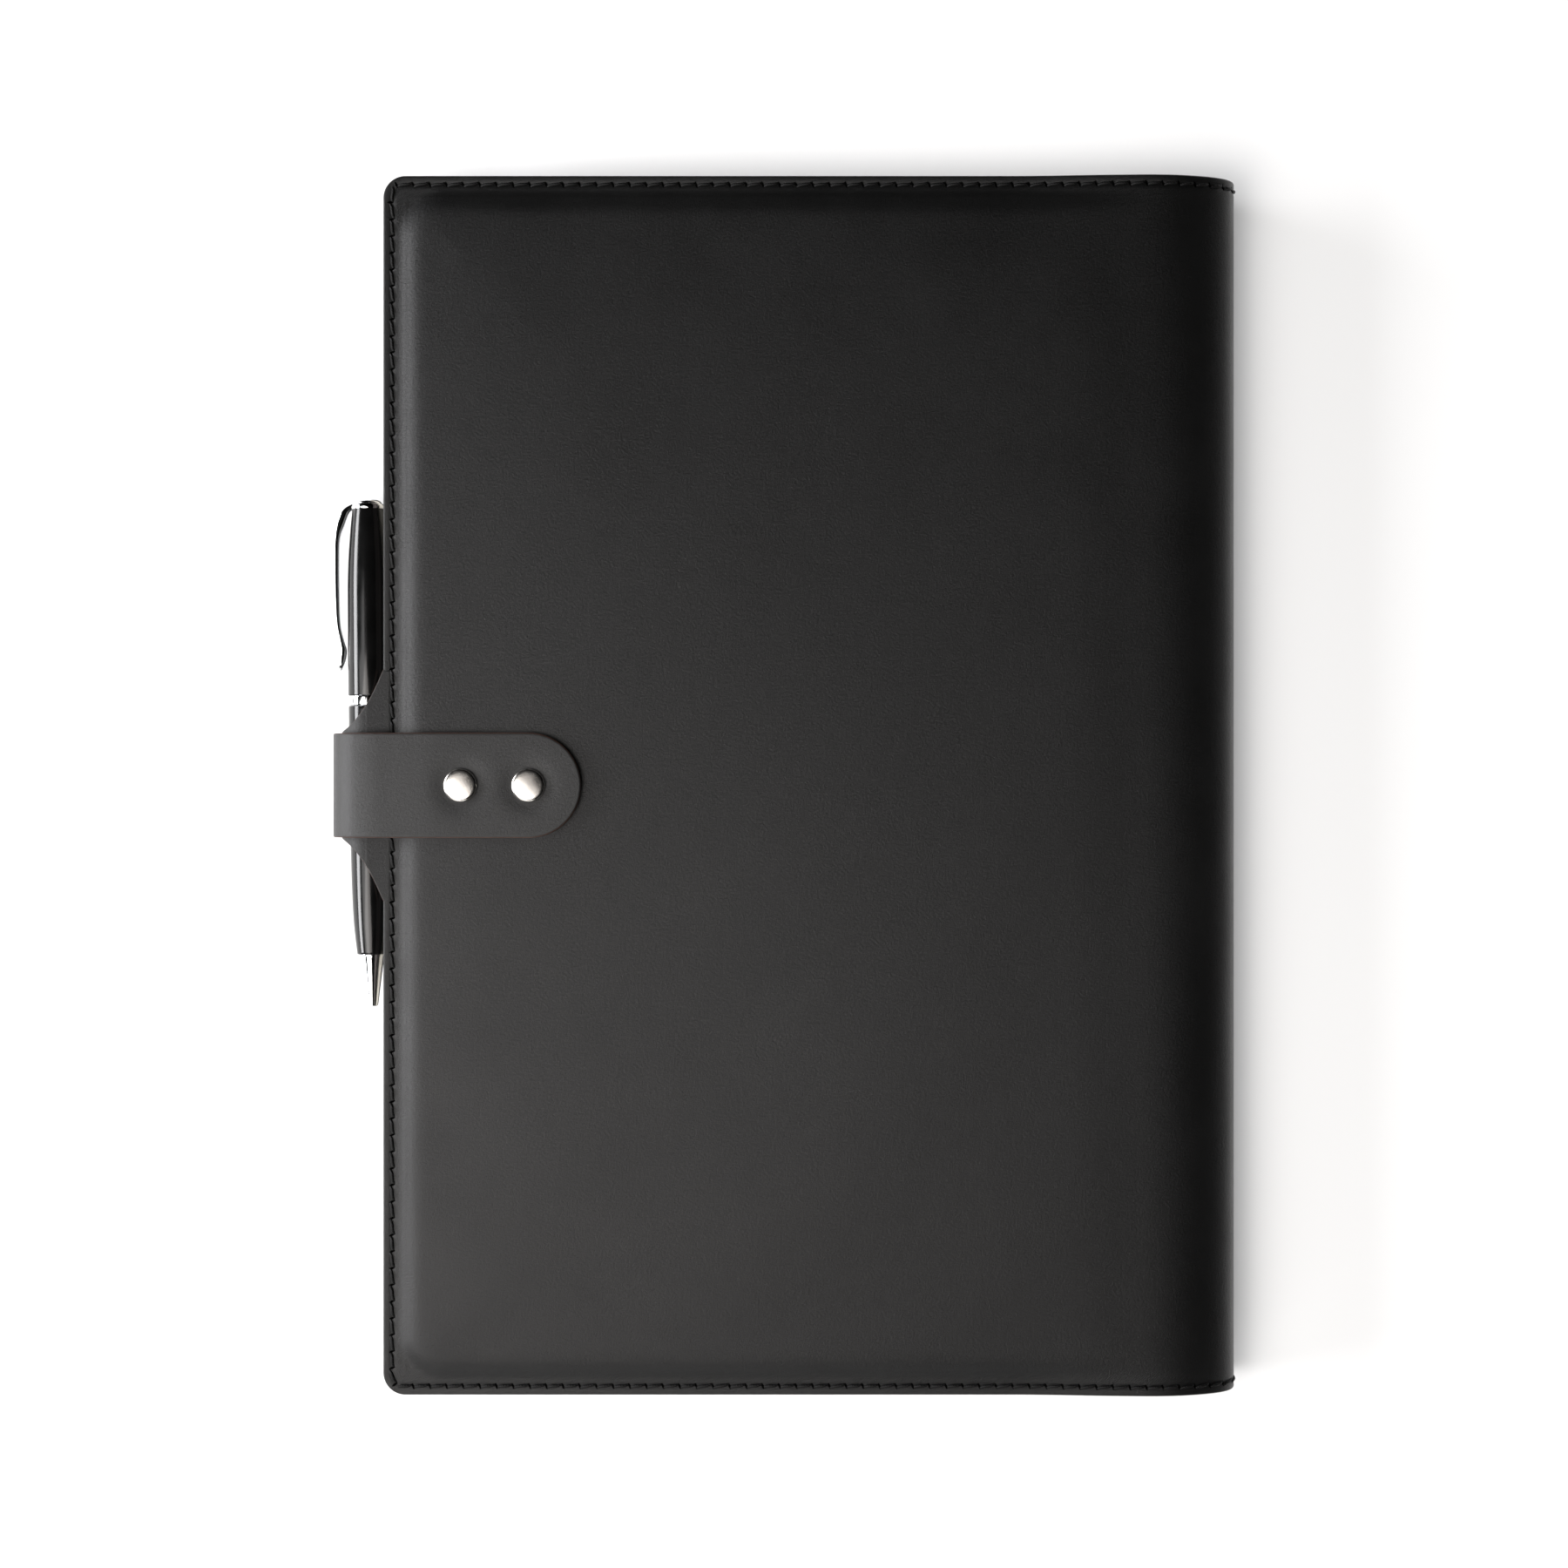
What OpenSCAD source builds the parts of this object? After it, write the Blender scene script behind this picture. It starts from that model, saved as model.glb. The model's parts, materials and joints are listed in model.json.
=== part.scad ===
// A4 notebook cover in soft leather, lying closed on its back, with a strap
// closure round the fore edge, a pen in its loop and a notebook in its pockets.
// +X points to the spine, +Y to the head of the pages, +Z up through the front.
// The origin is the centre of the back cover's outer face. All sizes are in mm.

/* [Cover] */
// Height of the cover, from tail to head
cover_l = 320; // [300:1:340]
// Width of the closed cover, from fore edge to spine
cover_w = 225; // [215:1:240]
// Thickness of the closed cover
cover_h = 26; // [26:0.5:32]
// Thickness of the outer leather
leather_t = 1.8; // [1.4:0.1:2.0]
// Thickness of the lining
lining_t = 0.7; // [0.5:0.1:0.9]
// Thickness of a pocket panel
pocket_t = 1.0; // [0.8:0.1:1.2]
// Depth of a pocket, from the fore edge inwards
pocket_d = 130; // [80:5:150]
// Radius of the cover's corners at the fore edge
corner_r = 5.8; // [3:0.1:10]
// Radius of the roll from the flat panel down to the spine
roll_r = 47; // [44:1:52]
// Width of the roll, from the flat panel to the fold
roll_w = 20; // [18:0.5:22]

/* [Stitching] */
// Distance of the stitch row from the edge
stitch_in = 2.3; // [1.8:0.1:3]
// Length from one stitch to the next
stitch_pitch = 4.35; // [3.5:0.05:6]
// Thickness of the thread
thread_d = 0.8; // [0.5:0.1:1]

/* [Notebook] */
// Thickness of a notebook board
board_t = 2.5; // [1.5:0.1:3]
// Distance of the boards' edges from the cover's edges
board_in = 9; // [8.5:0.1:12]
// Distance of the page edges from the cover's edges
page_in = 11; // [10:0.5:20]

/* [Pen] */
// Largest diameter of the barrel
pen_d = 11.4; // [9:0.1:11.6]
// Lean of the pen in its loop, in degrees
pen_lean = 0.48; // [0:0.01:0.5]
// Clearance between the barrel and the loop
loop_gap = 0.3; // [0.2:0.05:0.4]
// Thickness of the loop's leather
loop_t = 1.5; // [1.2:0.1:1.6]
// Width of the loop at its narrowest
loop_w = 28; // [20:1:34]
// Width of the loop where it leaves the front cover
loop_foot_w = 61; // [50:1:80]

/* [Strap] */
// Width of the closure strap
strap_w = 27.4; // [20:0.2:32]
// Thickness of the closure strap
strap_t = 1.8; // [1.4:0.1:2.0]
// Distance of the strap's outer face from the fore edge
strap_out = 14.1; // [14:0.1:16]
// Distance of the outer snap from the fore edge
snap_in = 20.8; // [18:0.1:24]
// Distance between the two snaps
snap_pitch = 17.7; // [12:0.1:24]
// Diameter of a snap's cap
cap_d = 8.8; // [8:0.1:10]
// Height of a snap's cap
cap_h = 1.7; // [1.4:0.1:2.2]

/* [Hidden] */
$fn = 48;
eps = 0.02;

// Colours
leather_c = "#2b2826";
lining_c = "#4a3b30";
thread_c = "#111111";
board_c = "#3a3a40";
paper_c = "#efe9da";
nickel_c = "#c9c9c6";
black_c = "#08080a";
chrome_c = "#d8dadd";

// Closed stack, counted up from the back's outer face over the board
stack_t = leather_t + lining_t + board_t + pocket_t;
skin_t = leather_t + lining_t;
fore_x = -cover_w / 2;
spine_x = cover_w / 2;
mid_z = cover_h / 2;

// The edges are pinched together, so the rim lies one board higher than the panel
rim_z = board_t;
ramp_foot_in = 5.9;
ramp_top_in = 8.8;
pad_r = 4.5;
pad_over = 9;
lining_wall_in = board_in - 0.3 - lining_t;
cavity_in = board_in - 0.3;
board_r = 3;

// Roll and folds
fold_x = spine_x - 5.8;
roll_x = fold_x - roll_w;
mid_r = roll_r - skin_t / 2;
fold_a = asin(roll_w / mid_r);
fold_z = roll_r - mid_r * cos(fold_a);
fold_gap = 1.5;
roll_a = fold_a - fold_gap / mid_r * 180 / PI;
roll_steps = 12;

// Spine: one arc from fold to fold, starting a little inside the end of the roll
spine_start = 1.1;
spine_dx = spine_x - fold_x - skin_t / 2 * sin(fold_a) * spine_start;
spine_dz = mid_z - roll_r + roll_r * cos(fold_a);
spine_r = (spine_dx * spine_dx + spine_dz * spine_dz) / (2 * spine_dx);
spine_cx = spine_x - spine_r;
spine_a = acos((spine_r - spine_dx) / spine_r) - fold_gap / (spine_r - skin_t) * 180 / PI;
spine_steps = 20;

// Pages: two blocks that part at mid height, thinner next to the spine
page_hinge_x = fold_x - 4.7;
page_gap = 0.3;
page_rest = 0.1;
pinch_t = 0.65;
pinch_w = 24;
pinch_ramp = 10;
page_fore_more = 0.5;
page_x = fore_x + page_in - page_fore_more;
page_l = cover_l - 2 * page_in;
back_strip_t = 1;
back_strip_h = 10;

// Pen axis, inside the loop at the fore edge
pen_r = pen_d / 2;
bore_r = pen_r + loop_gap;
loop_r = bore_r + loop_t;
pen_out = 4.5;
pen_x = fore_x - pen_out;
pen_z = cover_h - rim_z - loop_r;
loop_end_a = 20;
tail_l = 5.5;
bore_fn = 64;

// Heights along the pen, counted from the middle of the loop towards the dome
dome_top = 76.3;
dome_foot = 74.6;
ring_foot = 73.2;
shoulder = 48.8;
joint_top = 23.7;
joint_low = 21;
lower_mid = -17;
lower_low = -36.6;
cone_top = -44.7;
cone_tip = -58.5;
crown_r = 4.2;
dome_r = 3.5;
tip_r = 1.5;
pen_bore_r = 3.6;
run = 0.15;
refill_r = 1.5;
point_top = -44;

// Strap
riser_x = fore_x - strap_out + strap_t / 2;
fold_low_z = rim_z + leather_t / 2;
lay_gap = 0.3;
fold_high_z = cover_h - 1.1;
strap_gap = strap_t / 2 + 0.15;
flat_x = fore_x + ramp_top_in;
flat_z = cover_h + lay_gap;
snap_x = [fore_x + snap_in, fore_x + snap_in + snap_pitch];
snap_fn = 48;
cap_z = flat_z + strap_t;
post_r = 1.2;
stud_r = 1.7;
socket_r = 3.3;
socket_bore_r = 2;
stud_flange_r = 3;
post_flange_r = 4;
flange_t = 0.4;

// ---- helpers ----

// Points on an arc of radius r round (cx, cy), from angle a0 to a1
function arc(cx, cy, r, a0, a1, n) =
    [for (i = [0:n]) let (a = a0 + (a1 - a0) * i / n) [cx + r * cos(a), cy + r * sin(a)]];
function flip(points) = [for (i = [len(points) - 1:-1:0]) points[i]];

// Extrudes an outline drawn in X and Z along Y
module along_y(l) {
    rotate([90, 0, 0]) linear_extrude(l, center = true) children();
}

// The front cover is the back cover turned over
module as_front() {
    translate([0, 0, cover_h]) mirror([0, 0, 1]) children();
}

// Plan of a panel: square at the spine side, round at the fore edge
module plan(inset, r, x_end) {
    x0 = fore_x + inset;
    half = cover_l / 2 - inset;
    translate([x0 + r, -half]) square([x_end - x0 - r, 2 * half]);
    translate([x0, -half + r]) square([x_end - x0, 2 * half - 2 * r]);
    for (s = [-1, 1]) translate([x0 + r, s * (half - r)]) circle(r);
}

module slab(inset, r, x_end, z0, z1) {
    translate([0, 0, z0]) linear_extrude(z1 - z0) plan(inset, r, x_end);
}

// Curved strip from the flat panel to the fold, between two depths below the outer face
module roll(depth0, depth1) {
    outer = arc(roll_x, roll_r, roll_r - depth0, -90, roll_a - 90, roll_steps);
    inner = arc(roll_x, roll_r, roll_r - depth1, -90, roll_a - 90, roll_steps);
    along_y(cover_l) polygon(concat(outer, flip(inner)));
}

module spine_arc(depth0, depth1) {
    outer = arc(spine_cx, mid_z, spine_r - depth0, -spine_a, spine_a, spine_steps);
    inner = arc(spine_cx, mid_z, spine_r - depth1, -spine_a, spine_a, spine_steps);
    along_y(cover_l) polygon(concat(outer, flip(inner)));
}

// ---- cover panels, drawn as the back cover ----

// The panel stands proud of the rim over the board
module proud_pad() {
    intersection() {
        hull() {
            slab(ramp_top_in, pad_r, roll_x + pad_over, 0, eps, $fn = 32);
            slab(ramp_foot_in, pad_r, roll_x + pad_over, rim_z - eps, rim_z, $fn = 32);
        }
        translate([fore_x, -cover_l / 2, 0]) cube([roll_x - fore_x, cover_l, rim_z]);
    }
}

module panel_leather() {
    difference() {
        union() {
            proud_pad();
            slab(0, corner_r, roll_x, rim_z, rim_z + leather_t);
        }
        slab(lining_wall_in, pad_r, roll_x + 1, leather_t, rim_z + leather_t + 1);
    }
    roll(0, leather_t);
}

module panel_lining() {
    rim_top = rim_z + skin_t;
    difference() {
        union() {
            slab(0, corner_r, roll_x, rim_z + leather_t, rim_top);
            slab(lining_wall_in, pad_r, roll_x, leather_t, rim_top);
        }
        slab(cavity_in, pad_r - lining_t, roll_x + 1, skin_t, rim_top + 1);
    }
    roll(leather_t, skin_t);
}

module panel_pocket() {
    slab(0, corner_r, fore_x + pocket_d, stack_t - pocket_t, stack_t);
}

module board() {
    slab(board_in, board_r, roll_x - 1, skin_t, skin_t + board_t);
}

// One stitch lying on the face below it, slanted across the row
module stitch() {
    slant = 22;
    reach = stitch_pitch * 0.74;
    rotate(slant) translate([-reach / 2, -thread_d / 2, -thread_d * 0.7])
        cube([reach, thread_d, thread_d * 0.7]);
}

module panel_stitches() {
    y_row = cover_l / 2 - stitch_in;
    x_row = fore_x + stitch_in;
    n_fore = floor((2 * y_row - 2 * corner_r) / stitch_pitch);
    for (i = [0:n_fore])
        translate([x_row, (i - n_fore / 2) * stitch_pitch, rim_z]) rotate(90) stitch();
    x_start = fore_x + corner_r;
    n_flat = floor((roll_x - x_start) / stitch_pitch);
    roll_pitch = stitch_pitch / roll_r * 180 / PI;
    n_roll = floor(roll_a / roll_pitch);
    for (s = [-1, 1]) {
        for (i = [0:n_flat - 1])
            translate([x_start + (i + 0.5) * stitch_pitch, s * y_row, rim_z]) stitch();
        for (i = [0:n_roll - 1])
            translate([roll_x, s * y_row, roll_r]) rotate([0, -(i + 0.6) * roll_pitch, 0])
                translate([0, 0, -roll_r]) stitch();
    }
}

module back_cover_leather() {
    color(leather_c) {
        panel_leather();
        tab_x = riser_x + strap_gap;
        translate([tab_x, -strap_w / 2, rim_z])
            cube([fore_x - tab_x + eps, strap_w, leather_t]);
    }
}

module back_lining() { color(lining_c) panel_lining(); }
module back_pocket() { color(leather_c) panel_pocket(); }
module back_stitching() { color(thread_c) panel_stitches(); }
module notebook_back_board() { color(board_c) board(); }

module front_lining() { color(lining_c) as_front() panel_lining(); }
module front_pocket() { color(leather_c) as_front() panel_pocket(); }
module front_stitching() { color(thread_c) as_front() panel_stitches(); }
module notebook_front_board() { color(board_c) as_front() board(); }

// Each stud sits in a shallow seat, on a post that comes up through the leather
module front_cover_leather() {
    color(leather_c) difference() {
        as_front() panel_leather();
        for (x = snap_x) translate([x, 0, cover_h]) {
            translate([0, 0, -flange_t]) cylinder(r = stud_flange_r, h = 1, $fn = snap_fn);
            translate([0, 0, -leather_t - 1])
                cylinder(r = post_r, h = leather_t + 2, $fn = snap_fn);
            translate([0, 0, -leather_t - 1])
                cylinder(r = post_flange_r, h = 1 + flange_t, $fn = snap_fn);
        }
    }
}

// ---- spine ----

module spine_leather() { color(leather_c) spine_arc(0, leather_t); }
module spine_lining() { color(lining_c) spine_arc(leather_t, skin_t); }

module spine_stitching() {
    pitch_a = stitch_pitch / spine_r * 180 / PI;
    n = floor(2 * spine_a / pitch_a);
    color(thread_c) for (s = [-1, 1]) for (i = [0:n - 1])
        translate([spine_cx, s * (cover_l / 2 - stitch_in), mid_z])
            rotate([0, -90 - (i - (n - 1) / 2) * pitch_a, 0])
                translate([0, 0, -spine_r]) stitch();
}

// Stiff strip that joins the notebook's boards
module notebook_spine() {
    color(board_c) translate([fold_x, 0, mid_z])
        cube([back_strip_t, cover_l - 2 * board_in, back_strip_h], center = true);
}

// ---- pages, drawn as the lower block ----

module leaves(rest_gap) {
    low = stack_t + rest_gap;
    pinched = stack_t + page_gap + pinch_t;
    top = mid_z - rest_gap / 3;
    color(paper_c) along_y(page_l) polygon([
        [page_x, low], [page_hinge_x - pinch_w - pinch_ramp, low],
        [page_hinge_x - pinch_w, pinched], [page_hinge_x, pinched],
        [page_hinge_x, top], [page_x, top]]);
}

module lower_leaves() { translate([0, 0, -page_rest]) leaves(page_rest); }
module upper_leaves() { as_front() leaves(page_gap); }

// ---- pen loop: runs on from the front leather, over the pen and back underneath ----

module loop_plan() {
    foot = loop_foot_w / 2;
    neck = loop_w / 2;
    reach = loop_r * 1.6;
    beyond = fore_x - 20;
    steps = 12;
    side = [for (i = [0:steps]) let (t = i / steps)
        [fore_x - reach * t, neck + (foot - neck) * (1 - t) * (1 - t) * (1 + t / 2)]];
    polygon(concat(side, [[beyond, neck], [beyond, -neck]], flip([for (p = side) [p[0], -p[1]]])));
}

module pen_loop() {
    top_z = pen_z + bore_r;
    color(leather_c) {
        intersection() {
            difference() {
                translate([pen_x, 0, pen_z]) rotate([90, 0, 0])
                    cylinder(r = loop_r, h = loop_foot_w, center = true, $fn = bore_fn);
                translate([pen_x, 0, pen_z]) rotate([90, 0, 0])
                    cylinder(r = bore_r, h = loop_foot_w + 2, center = true, $fn = bore_fn);
                translate([pen_x, -loop_foot_w, pen_z + loop_r * sin(loop_end_a)])
                    cube([loop_r + 1, 2 * loop_foot_w, loop_r]);
            }
            union() {
                translate([0, 0, pen_z]) linear_extrude(loop_r + 1) loop_plan();
                translate([pen_x - loop_r, -loop_w / 2, pen_z - loop_r])
                    cube([2 * loop_r, loop_w, loop_r + loop_r * sin(loop_end_a)]);
            }
        }
        intersection() {
            translate([pen_x, -loop_foot_w / 2, top_z])
                cube([fore_x - pen_x, loop_foot_w, loop_t]);
            translate([0, 0, top_z]) linear_extrude(loop_t) loop_plan();
        }
        tail_x = pen_x + bore_r * cos(loop_end_a) + 0.1;
        tail_z = pen_z + loop_r * sin(loop_end_a) - 0.4;
        translate([tail_x, -loop_w / 2, tail_z])
            cube([tail_l, loop_w, cover_h - stack_t - tail_z]);
    }
}

// ---- closure strap: one leather strip, folded at the foot and at the top of the riser ----

module strap_riser() {
    color(leather_c)
        translate([riser_x - strap_t / 2, -strap_w / 2, fold_low_z + strap_gap])
            cube([strap_t, strap_w, fold_high_z - fold_low_z - 2 * strap_gap]);
}

module strap_tongue() {
    end_x = snap_x[1];
    low_z = fold_high_z - strap_t / 2;
    color(leather_c) difference() {
        union() {
            along_y(strap_w) polygon([
                [riser_x + strap_gap, low_z], [flat_x, flat_z], [end_x, flat_z],
                [end_x, flat_z + strap_t], [flat_x, flat_z + strap_t],
                [riser_x + strap_gap, low_z + strap_t]]);
            translate([end_x, 0, flat_z]) cylinder(d = strap_w, h = strap_t, $fn = 96);
        }
        for (x = snap_x) translate([x, 0, flat_z - 1])
            cylinder(r = socket_r, h = strap_t + 2, $fn = snap_fn);
    }
}

// Domed cap with a short neck that the socket grips
module snap_cap() {
    r = cap_d / 2;
    edge = cap_h * 0.45;
    rotate_extrude($fn = snap_fn) polygon(concat(
        [[0, -0.5], [post_r, -0.5], [post_r, 0], [r - 0.3, 0]],
        arc(r - edge, edge, edge, -30, 60, 6),
        [for (i = [1:5]) let (x = (r - edge) * (1 - i / 5))
            [x, cap_h - 0.25 * pow(x / r, 2) - 0.35 * pow(x / r, 6)]]));
}

module snap_caps() {
    color(nickel_c) for (x = snap_x) translate([x, 0, cap_z]) snap_cap();
}

module snap_sockets() {
    roof_t = 0.5;
    color(nickel_c) for (x = snap_x) translate([x, 0, flat_z]) difference() {
        cylinder(r = socket_r, h = strap_t, $fn = snap_fn);
        translate([0, 0, -1]) cylinder(r = socket_bore_r, h = strap_t - roof_t + 1, $fn = snap_fn);
        cylinder(r = post_r, h = strap_t + 1, $fn = snap_fn);
    }
}

module snap_studs() {
    stud_h = 1.4;
    color(nickel_c) for (x = snap_x) translate([x, 0, cover_h]) difference() {
        union() {
            translate([0, 0, -flange_t]) cylinder(r = stud_flange_r, h = flange_t, $fn = snap_fn);
            cylinder(r = stud_r, h = stud_h, $fn = snap_fn);
        }
        translate([0, 0, -1]) cylinder(r = post_r, h = stud_h - 0.3 + 1, $fn = snap_fn);
    }
}

module snap_posts() {
    post_top = 1.1;
    color(nickel_c) for (x = snap_x) translate([x, 0, cover_h - leather_t]) {
        cylinder(r = post_flange_r, h = flange_t, $fn = snap_fn);
        cylinder(r = post_r, h = leather_t + post_top, $fn = snap_fn);
    }
}

// ---- pen, drawn along +Z and laid along +Y ----

module lay_pen() {
    translate([pen_x, 0, pen_z]) rotate([0, 0, pen_lean]) rotate([-90, 0, 0]) children();
}

module turned(outline) {
    rotate_extrude($fn = bore_fn) polygon(outline);
}

// The upper barrel narrows towards its crown
function upper_r(z) = pen_r - (pen_r - crown_r) * pow(max(0, (z - shoulder) / (ring_foot - shoulder)), 2.2);

module pen_upper_barrel() {
    side = [for (i = [0:10]) let (z = shoulder + (ring_foot - shoulder) * i / 10) [upper_r(z), z]];
    bore_top = 64;
    color(black_c) lay_pen() turned(concat(
        [[pen_bore_r, joint_top], [pen_r, joint_top]], side,
        [[0, ring_foot], [0, bore_top], [pen_bore_r, bore_top]]));
}

module pen_top_ring() {
    color(chrome_c) lay_pen() translate([0, 0, ring_foot])
        cylinder(r = crown_r + 0.15, h = dome_foot - ring_foot, $fn = bore_fn);
}

module pen_dome() {
    h = dome_top - dome_foot;
    color(chrome_c) lay_pen() turned(concat(
        [[0, dome_foot]],
        [for (i = [0:8]) let (a = 90 * i / 8) [dome_r * cos(a), dome_foot + h * sin(a)]]));
}

// Outline of the clip: distance from the pen's axis and height along it
module pen_clip() {
    clip_w = 3.2;
    color(chrome_c) lay_pen() rotate([90, 0, 0]) linear_extrude(clip_w, center = true) polygon([
        [-crown_r - 0.15, 74.4], [-6.5, 73.2], [-8.3, 70.3], [-9, 66.4], [-9.3, 61], [-9.3, 46.5],
        [-8.9, 42.4], [-8.3, 30.8], [-7.7, 30.2], [-7, 30.6], [-5.85, 35.9], [-7.7, 41.4],
        [-7.7, 65.7], [-6.7, 68.2], [-crown_r - 0.15, 73.6]]);
}

module pen_centre_ring() {
    color(chrome_c) lay_pen() translate([0, 0, joint_low + run]) difference() {
        cylinder(r = pen_r + 0.05, h = joint_top - joint_low - run, $fn = bore_fn);
        translate([0, 0, -1]) cylinder(r = pen_bore_r, h = 5, $fn = bore_fn);
    }
}

// Held in the upper barrel; its neck is the bearing that the lower barrel turns on
module pen_twist_mechanism() {
    neck_r = pen_bore_r - run;
    grip_r = refill_r + run;
    neck_low = 9;
    grip_top = 34;
    body_top = 44;
    color(chrome_c) lay_pen() turned([
        [grip_r, neck_low], [neck_r, neck_low], [neck_r, joint_top], [pen_bore_r, joint_top],
        [pen_bore_r, body_top], [0, body_top], [0, grip_top], [grip_r, grip_top]]);
}

module pen_lower_barrel() {
    nose_r = 2.2;
    nose_top = -38;
    color(black_c) lay_pen() turned([
        [pen_bore_r, joint_low], [pen_r - 0.1, joint_low], [pen_r - 0.3, lower_mid],
        [pen_r - 0.55, -28], [pen_r - 0.95, lower_low], [3.8, cone_top],
        [nose_r, cone_top], [nose_r, nose_top], [pen_bore_r, nose_top + 4]]);
}

module pen_tip_cone() {
    cone_r = 3.25;
    wide_r = 1.9;
    narrow_r = 1;
    wide_low = -50;
    color(chrome_c) lay_pen() turned([
        [wide_r, cone_top], [cone_r, cone_top], [tip_r, cone_tip], [narrow_r, cone_tip],
        [narrow_r, wide_low], [wide_r, wide_low]]);
}

module refill_tube() {
    tube_l = 74;
    color("#b8b8bc") lay_pen() translate([0, 0, point_top])
        cylinder(r = refill_r, h = tube_l, $fn = 32);
}

module refill_point() {
    point_r = 0.9;
    neck_r = 0.7;
    color(chrome_c) lay_pen() turned([
        [0, point_top], [point_r, point_top], [point_r, point_top - 2.5], [neck_r, point_top - 3],
        [neck_r, -57], [0.35, -58.2], [0, -58.3]]);
}

back_cover_leather();
back_lining();
back_pocket();
back_stitching();
notebook_back_board();
lower_leaves();
spine_leather();
spine_lining();
spine_stitching();
notebook_spine();
front_cover_leather();
pen_loop();
front_lining();
front_pocket();
front_stitching();
notebook_front_board();
snap_studs();
snap_posts();
upper_leaves();
strap_riser();
strap_tongue();
snap_caps();
snap_sockets();
pen_upper_barrel();
pen_dome();
pen_top_ring();
pen_clip();
pen_centre_ring();
pen_twist_mechanism();
pen_lower_barrel();
pen_tip_cone();
refill_tube();
refill_point();
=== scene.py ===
"""Looks of the leather notebook cover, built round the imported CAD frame. Metres throughout."""

import json
import math
import random

import bmesh
import bpy
import numpy as np
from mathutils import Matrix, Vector


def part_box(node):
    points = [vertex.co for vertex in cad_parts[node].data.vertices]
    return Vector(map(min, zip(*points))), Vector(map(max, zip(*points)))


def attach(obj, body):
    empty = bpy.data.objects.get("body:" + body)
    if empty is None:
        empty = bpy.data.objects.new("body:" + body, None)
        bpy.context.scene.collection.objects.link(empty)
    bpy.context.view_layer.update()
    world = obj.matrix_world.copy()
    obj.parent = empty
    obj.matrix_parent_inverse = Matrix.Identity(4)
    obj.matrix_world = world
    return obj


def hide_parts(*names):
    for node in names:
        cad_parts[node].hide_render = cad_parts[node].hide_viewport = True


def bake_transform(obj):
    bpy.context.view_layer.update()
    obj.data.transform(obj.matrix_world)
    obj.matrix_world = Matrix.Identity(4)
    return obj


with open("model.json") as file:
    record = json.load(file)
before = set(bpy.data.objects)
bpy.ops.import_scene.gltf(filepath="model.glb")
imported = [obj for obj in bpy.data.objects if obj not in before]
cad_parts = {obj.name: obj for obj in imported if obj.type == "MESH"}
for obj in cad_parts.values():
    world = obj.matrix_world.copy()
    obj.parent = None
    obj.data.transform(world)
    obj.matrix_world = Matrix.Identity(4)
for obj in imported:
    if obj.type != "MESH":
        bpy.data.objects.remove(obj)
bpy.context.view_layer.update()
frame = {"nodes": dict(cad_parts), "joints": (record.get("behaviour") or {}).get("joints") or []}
random.seed(7)
MM = 0.001

# ---------------------------------------------------------------- sizes from the frame

joints = {j["name"]: j for j in frame["joints"]}
FRONT_LOW, FRONT_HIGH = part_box("front_cover_leather")
LEAVES_LOW, LEAVES_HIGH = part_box("upper_leaves")
FORE_X = FRONT_LOW.x
SPINE_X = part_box("spine_leather")[1].x
HALF_L = FRONT_HIGH.y
COVER_H = FRONT_HIGH.z
MID_Z = COVER_H / 2
FOLD = Vector(joints["front_fold"]["pos_m"])
STRAP_LOW = Vector(joints["strap_swing"]["pos_m"])
STRAP_TOP = Vector(joints["strap_peel"]["pos_m"])

# Layers of the cover, counted inwards from its outer face
LEATHER_T = 1.8 * MM
LINING_T = 0.7 * MM
POCKET_T = 1.0 * MM
BOARD_T = 2.5 * MM
SKIN_T = LEATHER_T + LINING_T
STACK_T = SKIN_T + BOARD_T + POCKET_T
ROLL_W = 20 * MM
ROLL_R = 47 * MM
CORNER_R = 5.8 * MM

# The pinched rim, and the ramp, crown and ridge where the board lifts the leather
RIM_DROP = 2.5 * MM
RAMP_IN = 3.3 * MM
RAMP_W = 3.9 * MM
CROWN_W = 20 * MM
CROWN_SHARE = 0.34
PANEL_R = 16 * MM
RIDGE_IN = 5.9 * MM
RIDGE_H = 0.05 * MM
RIDGE_W = 0.32 * MM
EDGE_R = 0.5 * MM

# Before the roll the panel's relief fades out and the leather hangs a little slack
SPINE_FADE_AT = 34 * MM
SPINE_FADE_W = 44 * MM
SLACK = 0.45 * MM
WAVE_H = 0.10 * MM
STUD_DENT = 0.14 * MM
STUD_R = 5.5 * MM

# Stitches, and the shallow groove that they lie in
STITCH_IN = 2.35 * MM
GROOVE_D = 0.22 * MM
GROOVE_W = 0.62 * MM
STITCH_PITCH = 4.35 * MM
STITCH_L = 4.05 * MM
STITCH_SLANT = math.radians(16)
THREAD_R = 0.42 * MM
THREAD_LIFT = 0.30 * MM
THREAD_RINGS = 9

# Strap and snaps
TONGUE_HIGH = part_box("strap_tongue")[1]
STRAP_HALF_W = TONGUE_HIGH.y
STRAP_T = 1.8 * MM
CAPS_LOW, CAPS_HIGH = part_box("snap_caps")
CAP_R = CAPS_HIGH.y
SNAP_X = (CAPS_LOW.x + CAP_R, CAPS_HIGH.x - CAP_R)
DENT_D = 0.55 * MM
DENT_R = 3.4 * MM
DENT_W = 3.3 * MM
SOCKET_CUT = 0.25 * MM
SOCKET_R = 4.2 * MM

# Pen, lying along a slightly leaning axis through the loop
PEN_AXIS = Vector(joints["pen_twist"]["axis"]).normalized()
PEN_AT = Vector(joints["pen_twist"]["pos_m"])
LOOP_T = 1.5 * MM
LOOP_BORE_R = 6.0 * MM


# ---------------------------------------------------------------- mesh helpers

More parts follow.
